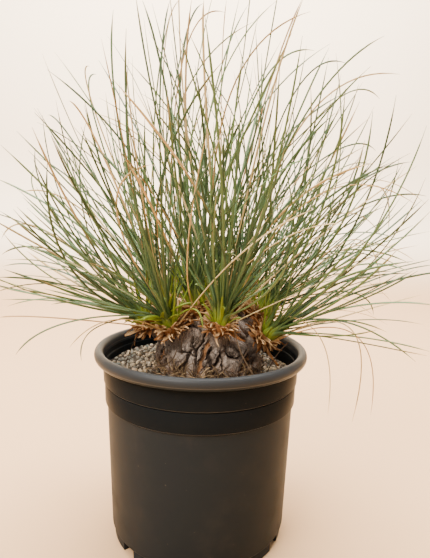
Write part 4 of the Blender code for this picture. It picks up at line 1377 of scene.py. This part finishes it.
def grow(frames, counts, dry, draw, thicket, finer=None):
    """A list of leaves for each head, where each leaf is drawn again until it clears what stands."""
    tries, clearance = (FINE_TRIES, 0.0) if finer else (LEAF_TRIES, LEAF_CLEARANCE)
    grown = [[] for _ in frames]
    for turn in range(max(counts)):
        for head, (seat, axis) in enumerate(frames):
            for attempt in range(tries if turn < counts[head] else 0):
                age = 0.55 if dry else (turn + 0.5) / counts[head]
                root, heading, length, droop, sway, width = draw_leaf(draw, seat, axis, age, turn, dry)
                length *= 1.0 - 0.4 * attempt / tries
                if heading.z < 0.10:
                    continue
                if finer:
                    width *= finer
                    droop *= FINE_DROOP
                    length *= draw.uniform(0.95, 1.22)
                    heading = heading + Vector((draw.uniform(-1, 1), draw.uniform(-1, 1), 0.0)) * WILD_LEAN
                    sway += Vector((draw.uniform(-1, 1), draw.uniform(-1, 1), 0.0)) * WILD_SWAY
                line = leaf_line(root, heading, length, droop, sway)
                if finer and (line[-1].z < FINE_TIP_LEVEL or too_low(line)):
                    continue
                if thicket.takes(line, width, head, dry, clearance):
                    grown[head].append((line, width, heading))
                    break
    return grown


def grow_arching(frames, draw, thicket):
    """Leaves of the outer heads that leave low and sink in long arcs, as a list for each head."""
    grown = [[] for _ in frames]
    for number, count in ARCHING_LEAVES:
        seat, axis = frames[number - 1]
        for _ in range(count):
            for _ in range(FINE_TRIES):
                around = math.atan2(axis.y, axis.x) + draw.uniform(-0.9, 0.9)
                level = level_way(around)
                climb = math.radians(draw.uniform(6.0, 44.0))
                heading = level * math.cos(climb) + UP * math.sin(climb)
                root = green_root(seat, axis, square_to(axis, heading), 0.0080)
                sway = UP.cross(level) * draw.uniform(-8.0, 8.0)
                line = leaf_line(root, heading, draw.uniform(0.115, 0.190), draw.uniform(-6.0, 9.0), sway)
                width = LEAF_WIDTH * draw.uniform(0.75, 0.95)
                if not too_low(line) and thicket.takes(line, width, number - 1, False, 0.0):
                    grown[number - 1].append((line, width, heading))
                    break
    return grown


def grown_leaves(settings):
    """Every head's leaves: those of the solids first, from the same draws, then finer ones between them."""
    frames = head_frames()
    draw = random.Random(LEAF_SEED)
    thicket = Thicket(frames)
    lone = grow_lone(LONE_LEAVES, frames, thicket)
    green = grow(frames, [GREEN_PER_HEAD] * len(frames), False, draw, thicket)
    dry = grow(frames, [DRY_PER_HEAD] * len(frames), True, draw, thicket)
    lone += grow_lone(FINE_LEAVES, frames, thicket)
    for head, is_dry, *leaf in lone:
        (dry if is_dry else green)[head].append(leaf)
    thicket.middle, thicket.reach = FINE_MIDDLE, FINE_REACH
    arching = grow_arching(frames, draw, thicket)
    more_counts = [round(settings.more * share) for share in GREEN_FULLNESS]
    dry_counts = [round(settings.more_dry * share) for share in DRY_FULLNESS]
    more = grow(frames, more_counts, False, draw, thicket, finer=FINE_GREEN)
    more_dry = grow(frames, dry_counts, True, draw, thicket, finer=FINE_DRY)
    for head in range(len(frames)):
        green[head] += arching[head] + more[head]
        dry[head] += more_dry[head]
    return frames, green, dry


def blade_profile():
    """The leaf's section, a shallow trough with its keel toward +X. across runs over its width."""
    outline = ((-0.32, -0.94), (0.06, -0.70), (0.58, 0.0), (0.06, 0.70), (-0.32, 0.94), (-0.04, 0.0))
    edges = [(k, (k + 1) % len(outline)) for k in range(len(outline))]
    mesh = mesh_from("blade_profile", [(x, y, 0.0) for x, y in outline], edges)
    set_attribute(mesh, "across", [y for _, y in outline])
    return show("blade_profile", mesh)


def blade_tree():
    """Sweeps a section along every line, turned to the stored facing and scaled by the stored half width."""
    tree, b, entry = geometry_tree("blades_along_lines", {"Profile": "Object"})
    lines = b.add("GeometryNodeMeshToCurve", {"Mesh": entry["Geometry"]})
    inputs = {"Curve": lines, "Normal": b.stored("facing", "FLOAT_VECTOR")}
    lines = b.add("GeometryNodeSetCurveNormal", inputs, mode="FREE")
    section = b.add("GeometryNodeObjectInfo", {"Object": entry["Profile"]}, out=4)
    section = b.add("GeometryNodeMeshToCurve", {"Mesh": section})
    inputs = {"Curve": lines, "Profile Curve": section, "Scale": b.stored("half_width"), "Fill Caps": True}
    blades = b.add("GeometryNodeCurveToMesh", inputs)
    blades = b.add("GeometryNodeSetShadeSmooth", {"Geometry": blades})
    close_tree(b, blades, entry["Material"])
    return tree


def sheathed(line, seat, axis):
    """A green leaf's line with its foot drawn down over the crown, where the leaf's base wraps round it."""
    out = line[0] - seat
    height = out.dot(axis)
    out = square_to(axis, out)
    age = min(1.0, max(0.0, (HIGHEST_ROOT - height) / ROOT_DROP))
    start = seat + axis * (0.0040 - 0.0034 * age) + out * (0.0026 + 0.0026 * age)
    lift = start + axis * 0.0065 + out * 0.0008
    join = line[2]
    before = join - (line[3] - line[2]).normalized() * 0.0045
    foot = []
    for t in (k / 6 for k in range(6)):
        point = start * (1 - t) ** 3 + lift * (3 * t * (1 - t) ** 2)
        foot.append(point + before * (3 * t * t * (1 - t)) + join * t**3)
    return foot + line[2:]


def blade_width(share, travelled, width, sheath):
    """Nearly even along the leaf, drawn to a point at the tip, and broad where the base wraps the crown."""
    wide = width * BLADE_SLIMNESS * (1.0 - 0.26 * share) * (1.0 - 0.84 * smooth_step(0.90, 1.0, share))
    return wide * (1.0 + sheath * math.exp(-((travelled / 0.0125) ** 2)))


def line_mesh(name, leaves, draw, dry, sheath, youth=1.0):
    """Leaves as edges along their middles, with what the blades and their colours need stored at each point.

    sheath is how much a leaf broadens at its root, and youth is where its tip comes on the scale of colour
    that runs from 0 at a grown leaf's root to 1 at its tip.
    """
    points, edges, facing, half, along, tone, dryness = [], [], [], [], [], [], []
    for line, width, face in leaves:
        own_tone = draw.random()
        reach = (0.20, 0.75) if draw.random() < DIE_BACK_SHARE else (-0.08, 0.08)
        dies_back = 1.0 - draw.uniform(*reach)
        twist = draw.uniform(-0.7, 0.7) / len(line)
        start = len(points)
        travelled = 0.0
        for k, point in enumerate(line):
            before, after = line[max(k - 1, 0)], line[min(k + 1, len(line) - 1)]
            ahead = (after - before).normalized()
            share = k / (len(line) - 1)
            travelled += (point - line[k - 1]).length if k else 0.0
            face = Matrix.Rotation(twist, 3, ahead) @ square_to(ahead, face)
            points.append(point)
            facing.append(face)
            half.append(blade_width(share, travelled, width, sheath) / 2)
            along.append(share * youth)
            tone.append(own_tone)
            own_dry = smooth_step(dies_back - 0.10, dies_back + 0.12, share)
            dryness.append(1.0 - 0.12 * own_tone if dry else own_dry * (youth == 1.0))
        edges += [(start + k, start + k + 1) for k in range(len(line) - 1)]
    mesh = mesh_from(name, points, edges)
    set_attribute(mesh, "facing", facing, "FLOAT_VECTOR")
    for label, values in (("half_width", half), ("along", along), ("tone", tone), ("dryness", dryness)):
        set_attribute(mesh, label, values)
    return mesh


def faced(leaves, seat, axis, wrapped):
    """The leaves with the way that each one's back faces, outward from the head's axis."""
    made = []
    for line, width, _ in leaves:
        out = square_to(axis, line[0] - seat)
        made.append((sheathed(line, seat, axis) if wrapped else line, width, out - axis * 0.05))
    return made


def young_leaves(seat, axis, count, draw):
    """Short, broad, pale leaves that have only begun to grow, low round the crown."""
    spin = turned_to(axis, seat).to_3x3()
    leaves = []
    for _ in range(count):
        out = spin @ level_way(draw.uniform(0.0, math.tau))
        lean = math.radians(draw.uniform(25.0, 80.0))
        way = (axis * math.cos(lean) + out * math.sin(lean) + UP * 0.5).normalized()
        length = draw.uniform(0.010, 0.040)
        length *= 0.35 + 0.65 * smooth_step(0.0, 0.5, way.z)
        root = seat + axis * draw.uniform(0.001, 0.005) + out * 0.0045
        middle = root + way * length * 0.5 + UP * length * draw.uniform(-0.05, 0.12)
        tip = root + way * length + UP * length * draw.uniform(-0.25, 0.25)
        leaves.append((fine_line((root, middle, tip), 12), draw.uniform(0.0018, 0.0031), out))
    return leaves


def crown_mesh(seat, axis):
    """The fleshy core that the leaves of a head grow from."""
    place = turned_to(axis, seat)
    rings, shares = [], []
    for wide, high in CROWN_OUTLINE:
        ring = []
        for angle in turns(CROWN_SIDES):
            pleat = 1.0 + CROWN_PLEAT * math.cos(5 * angle + 220.0 * high) * min(1.0, high / 0.004)
            radius = CROWN_RADIUS * CROWN_SHRINK * wide * pleat
            ring.append(place @ point_at(radius, angle, high))
            shares.append(high / CROWN_OUTLINE[-1][1])
        rings.append(ring)
    mesh = loft("crown", rings)
    set_attribute(mesh, "along", shares)
    mesh.shade_smooth()
    return mesh


def root_thread(draw):
    """A fine thread on the gravel or up the trunk's foot, more often in front than behind."""
    angle = math.radians(draw.uniform(208.0, 330.0) if draw.random() < 0.66 else draw.uniform(0.0, 360.0))
    wall, out = trunk_point(angle, 0.0), level_way(angle)
    climbing = draw.random() < 0.45
    spot = wall + out * (0.0016 if climbing else draw.uniform(0.001, 0.014))
    spot.z = gravel_height(spot.x) + draw.uniform(0.0010, 0.0040)
    turn = draw.uniform(0.0, math.tau)
    reach = draw.uniform(0.004, 0.014)
    way = Vector((math.cos(turn), math.sin(turn), draw.uniform(-0.05, 0.25))) * reach
    if climbing:
        side = Vector((-out.y, out.x, 0.0))
        way = (side * draw.uniform(-1.0, 1.0) + UP * draw.uniform(0.2, 1.2)).normalized() * reach
        spot += way * 0.5
    way -= out * min(0.0, (spot + way - wall).dot(out))
    bend = Vector((draw.uniform(-1, 1), draw.uniform(-1, 1), draw.uniform(-0.2, 1.0))) * reach * 0.25
    bend -= out * min(0.0, bend.dot(out))
    points = (spot - way * 0.5, spot + bend, spot + way * 0.5)
    return fine_line(points, 9), draw.uniform(0.0005, 0.0012), out + UP * 0.3


class CALIBANUS_OT_leaves(bpy.types.Operator):
    """Grow the leaves of every head, green and dry, and the crowns that they stand in"""

    bl_idname = "calibanus.leaves"
    bl_label = "Leaves"

    def execute(self, context):
        settings = context.scene.calibanus_leaf
        frames, green, dry = grown_leaves(settings)
        tree, profile = blade_tree(), blade_profile()
        values = {"Profile": profile, "Material": leaf_finish(settings)}
        draw = random.Random(LEAF_SEED + 1)
        crown_material = crown_finish(settings)
        for number, (seat, axis) in enumerate(frames):
            label = f"{number + 1:02d}"
            lines = line_mesh("leaf_lines", faced(green[number], seat, axis, True), draw, False, 1.9)
            blades = grown_mesh(lines, tree, values)
            short = young_leaves(seat, axis, settings.young, draw)
            young = grown_mesh(line_mesh("young_lines", short, draw, False, 0.3, YOUTH), tree, values)
            crown = crown_mesh(seat, axis)
            crown.materials.append(crown_material)
            settle(joined(f"tuft_{label}", [blades, young, crown]), "leaf_green", f"leaves_{label}")
            lines = line_mesh("dry_lines", faced(dry[number], seat, axis, False), draw, True, 0.4)
            settle(show(f"straws_{label}", grown_mesh(lines, tree, values)), "dry_leaf")
        short = [(fine_line(points, 12), width, Vector((0.0, -0.4, 1.0))) for points, width in SPROUTS]
        lines = line_mesh("sprout_lines", short, random.Random(LEAF_SEED + 2), False, 0.2, YOUTH)
        settle(show("sprouts", grown_mesh(lines, tree, values)), "leaf_green")
        fallen = [(fine_line(points), 0.0011, Vector((0.2, 1.0, 0.1))) for points in STRAWS]
        fallen += [root_thread(draw) for _ in range(THREAD_COUNT)]
        lines = line_mesh("litter_lines", fallen, draw, True, 0.0)
        litter = grown_mesh(lines, tree, {**values, "Material": litter_finish()})
        settle(show("litter", litter), "dry_leaf")
        bpy.data.objects.remove(profile)
        return {"FINISHED"}


# Husks.


def scale_shapes(draw):
    """Torn papery strips, one unit long and standing on their root, that curl outward along +X."""
    collection = bpy.data.collections.new("scales")
    for number in range(SCALE_SHAPES):
        curl, wide = draw.uniform(0.15, 0.85), draw.uniform(0.20, 0.46)
        twist = draw.uniform(-1.0, 1.0)
        front, back = [], []
        for j in range(SCALE_ROWS + 1):
            t = j / SCALE_ROWS
            half = wide / 2 * (1.0 - 0.82 * t**1.6) * (1.0 + draw.uniform(-0.22, 0.22))
            lean = curl * t * t
            spin = twist * t
            for side in (-1.0, 0.0, 1.0):
                cup = 0.10 * (1 - abs(side)) * (1 - 0.5 * t)
                x, y = lean + cup, side * half
                x, y = x * math.cos(spin) - y * math.sin(spin), x * math.sin(spin) + y * math.cos(spin)
                front.append(Vector((x, y, t * (1 - 0.2 * curl))))
                back.append(Vector((x - 0.035, y, t * (1 - 0.2 * curl))))
        points = front + back
        layer = len(front)
        faces = []
        for j in range(SCALE_ROWS):
            for s in range(2):
                a = j * 3 + s
                faces.append((a, a + 1, a + 4, a + 3))
                faces.append((layer + a, layer + a + 3, layer + a + 4, layer + a + 1))
            for a, b in ((j * 3, j * 3 + 3), (j * 3 + 5, j * 3 + 2)):
                faces.append((a, b, layer + b, layer + a))
        top = SCALE_ROWS * 3
        for s in range(2):
            faces.append((s + 1, s, layer + s, layer + s + 1))
            faces.append((top + s, top + s + 1, layer + top + s + 1, layer + top + s))
        mesh = mesh_from(f"scale_{number}", points, faces=faces)
        face_outward(mesh)
        set_attribute(mesh, "along", [p.z for p in points])
        collection.objects.link(bpy.data.objects.new(mesh.name, mesh))
    return collection


def scales_tree():
    """Stands a scale on every point, turned to the stored growth and outward directions."""
    tree, b, entry = geometry_tree("scales_on_points", {"Scales": "Collection", "Length": "Float"})
    growth, outward = b.stored("growth", "FLOAT_VECTOR"), b.stored("outward", "FLOAT_VECTOR")
    inputs = {"Primary Axis": growth, "Secondary Axis": outward}
    turn = b.add("FunctionNodeAxesToRotation", inputs, primary_axis="Z", secondary_axis="X")
    size = b.times(b.stored("size"), entry["Length"])
    points = b.add("GeometryNodeMeshToPoints", {"Mesh": entry["Geometry"]})
    scales = b.scatter(points, entry["Scales"], SCALE_SHAPES, 4, turn, size)
    scales = b.add("GeometryNodeSetShadeSmooth", {"Geometry": scales})
    close_tree(b, scales, entry["Material"])
    return tree


def scale_seats(seat, axis, count, draw):
    """Where the scales of one husk stand: tiers round the crown, the lowest leaning out the most."""
    place = turned_to(axis, seat)
    spin = place.to_3x3()
    points, growth, outward, size, tone = [], [], [], [], []
    for k in range(count):
        share = (k + draw.random()) / count
        angle = k * GOLDEN_ANGLE + draw.uniform(-0.3, 0.3)
        out = level_way(angle)
        height = HUSK_LOW + (HUSK_HIGH - 0.001 - HUSK_LOW) * share
        radius = HUSK_INNER_RADIUS + 0.0016 * (1.0 - share) + draw.uniform(0.0, 0.0008)
        lean = math.radians(draw.triangular(4.0, 118.0, 58.0 - 38.0 * share))
        points.append(place @ (out * radius + UP * height))
        growth.append(spin @ (UP * math.cos(lean) + out * math.sin(lean)))
        outward.append(spin @ out)
        size.append(draw.triangular(0.5, 1.4, 0.8) * (1.7 if draw.random() < 0.06 else 1.0))
        tone.append(min(1.0, 0.25 + 0.5 * share + draw.uniform(-0.3, 0.4)))
    mesh = mesh_from("scale_seats", points)
    set_attribute(mesh, "growth", growth, "FLOAT_VECTOR")
    set_attribute(mesh, "outward", outward, "FLOAT_VECTOR")
    set_attribute(mesh, "size", size)
    set_attribute(mesh, "tone", tone)
    return mesh


def sleeve_mesh(seat, axis, draw):
    """The husk's solid sleeve, which the scales stand on."""
    place = turned_to(axis, seat)
    points = []
    for radius, height in SLEEVE:
        for angle in turns(SLEEVE_SIDES):
            ragged = radius * (1.0 + draw.uniform(-0.03, 0.03))
            points.append(place @ point_at(ragged, angle, height))
    mesh = mesh_from("sleeve", points, faces=ring_faces(len(SLEEVE), SLEEVE_SIDES, True))
    face_outward(mesh)
    mesh.shade_smooth()
    set_attribute(mesh, "along", [0.15] * len(points))
    set_attribute(mesh, "tone", [0.1] * len(points))
    return mesh


class CALIBANUS_OT_husks(bpy.types.Operator):
    """Sleeve every crown in torn, papery scales"""

    bl_idname = "calibanus.husks"
    bl_label = "Husks"

    def execute(self, context):
        settings = context.scene.calibanus_husk
        draw = random.Random(LEAF_SEED + 2)
        shapes = scale_shapes(draw)
        tree = scales_tree()
        material = husk_finish(settings)
        values = {"Scales": shapes, "Length": settings.length, "Material": material}
        for number, (seat, axis) in enumerate(head_frames()):
            scales = grown_mesh(scale_seats(seat, axis, settings.scales, draw), tree, values)
            sleeve = sleeve_mesh(seat, axis, draw)
            sleeve.materials.append(material)
            husk = joined(f"husk_scales_{number + 1:02d}", [scales, sleeve])
            settle(husk, "dry_leaf", f"husk_{number + 1:02d}")
        discard(shapes)
        return {"FINISHED"}


# Stage.


def soft_light(name, place, target, size, power, colour):
    light = bpy.data.lights.new(name, "AREA")
    light.shape = "RECTANGLE"
    light.size, light.size_y = size
    light.energy = power
    light.color = colour
    obj = bpy.data.objects.new(name, light)
    bpy.context.scene.collection.objects.link(obj)
    obj.location = place
    obj.rotation_mode = "QUATERNION"
    obj.rotation_quaternion = (Vector(target) - Vector(place)).to_track_quat("-Z", "Y")


class CALIBANUS_OT_stage(bpy.types.Operator):
    """Set the floor, the backdrop, the soft lights and the camera"""

    bl_idname = "calibanus.stage"
    bl_label = "Stage"

    def execute(self, context):
        settings = context.scene.calibanus_stage
        self.sweep(settings)
        self.light_up(settings)
        self.aim_camera(settings)
        return {"FINISHED"}

    def sweep(self, settings):
        """A floor that curves up into a backdrop far behind."""

        def build(t):
            rise = t.ramp(t.split(t.place())[2], 0.0, 0.20)
            return {"Base Color": t.blend(rise, settings.floor, settings.wall)}

        bend, flat = 0.45, 0.85
        angles = (math.pi / 2 * k / 16 for k in range(17))
        outline = [(-3.5, 0.0), *((flat + bend * math.sin(a), bend - bend * math.cos(a)) for a in angles)]
        outline.append((flat + bend, 4.0))
        points = [(x, y, z) for x in (-4.0, 4.0) for y, z in outline]
        count = len(outline)
        faces = [(k, count + k, count + k + 1, k + 1) for k in range(count - 1)]
        mesh = mesh_from("stage_sweep", points, faces=faces)
        mesh.shade_smooth()
        show("stage_sweep", mesh, new_material("stage_finish", {"Roughness": 0.85}, build))

    def light_up(self, settings):
        world = bpy.data.worlds.new("studio")
        bpy.context.scene.world = world
        world.use_nodes = True
        background = world.node_tree.nodes["Background"]
        background.inputs["Color"].default_value, background.inputs["Strength"].default_value = SKY
        soft_light("key", (-0.65, -0.75, 1.15), LIT_MIDDLE, (0.8, 0.8), settings.key, WARM)
        soft_light("left", (-1.0, 0.05, 0.35), LIT_MIDDLE, (0.25, 0.9), settings.fill, PLAIN)
        soft_light("right", (1.0, 0.05, 0.35), LIT_MIDDLE, (0.25, 0.9), settings.fill, PLAIN)
        soft_light("top", (0.1, 0.15, 1.4), LIT_MIDDLE, (1.0, 1.0), settings.key, PLAIN)
        soft_light("backdrop", (0.0, 0.35, 1.7), (0.0, 1.3, 0.4), (2.0, 0.5), settings.key * 3.5, PLAIN)

    def aim_camera(self, settings):
        data = bpy.data.cameras.new("camera")
        data.lens = settings.lens
        data.sensor_width = SENSOR_WIDTH
        data.clip_start, data.clip_end = 0.02, 20.0
        camera = bpy.data.objects.new("camera", data)
        bpy.context.scene.collection.objects.link(camera)
        yaw, down, roll = (math.radians(v) for v in CAMERA_TURNS)
        forward = Vector((math.sin(yaw) * math.cos(down), math.cos(yaw) * math.cos(down), -math.sin(down)))
        level = Vector((math.cos(yaw), -math.sin(yaw), 0.0))
        upright = level.cross(forward)
        right = level * math.cos(roll) + upright * math.sin(roll)
        top = -level * math.sin(roll) + upright * math.cos(roll)
        turn = Matrix((right, top, -forward)).transposed()
        camera.matrix_world = Matrix.Translation(CAMERA_PLACE) @ turn.to_4x4()
        bpy.context.scene.camera = camera


class CALIBANUS_PT_panel(bpy.types.Panel):
    """Lists the pieces of the potted calibanus"""

    bl_idname = "CALIBANUS_PT_panel"
    bl_label = "Potted calibanus"
    bl_space_type = "VIEW_3D"
    bl_region_type = "UI"
    bl_category = "Calibanus"

    def draw(self, context):
        for name, _, operator in STEPS:
            box = self.layout.box()
            settings = getattr(context.scene, "calibanus_" + name)
            for key in settings.bl_rna.properties.keys():
                if key not in ("rna_type", "name"):
                    box.prop(settings, key)
            box.operator(operator.bl_idname)


# The pieces in the order that they are built: the name of each one's settings, their group and the operator.
STEPS = (
    ("pot", PotSettings, CALIBANUS_OT_pot),
    ("gravel", GravelSettings, CALIBANUS_OT_gravel),
    ("trunk", TrunkSettings, CALIBANUS_OT_trunk),
    ("leaf", LeafSettings, CALIBANUS_OT_leaves),
    ("husk", HuskSettings, CALIBANUS_OT_husks),
    ("stage", StageSettings, CALIBANUS_OT_stage),
)


def register():
    for name, group, operator in STEPS:
        bpy.utils.register_class(group)
        setattr(bpy.types.Scene, "calibanus_" + name, bpy.props.PointerProperty(type=group))
        bpy.utils.register_class(operator)
    bpy.utils.register_class(CALIBANUS_PT_panel)


def unregister():
    bpy.utils.unregister_class(CALIBANUS_PT_panel)
    for name, group, operator in reversed(STEPS):
        bpy.utils.unregister_class(operator)
        delattr(bpy.types.Scene, "calibanus_" + name)
        bpy.utils.unregister_class(group)


def main():
    register()
    bpy.ops.calibanus.pot()
    bpy.ops.calibanus.gravel()
    bpy.ops.calibanus.trunk()
    bpy.ops.calibanus.leaves()
    bpy.ops.calibanus.husks()
    bpy.ops.calibanus.stage()


if __name__ == "__main__":
    main()
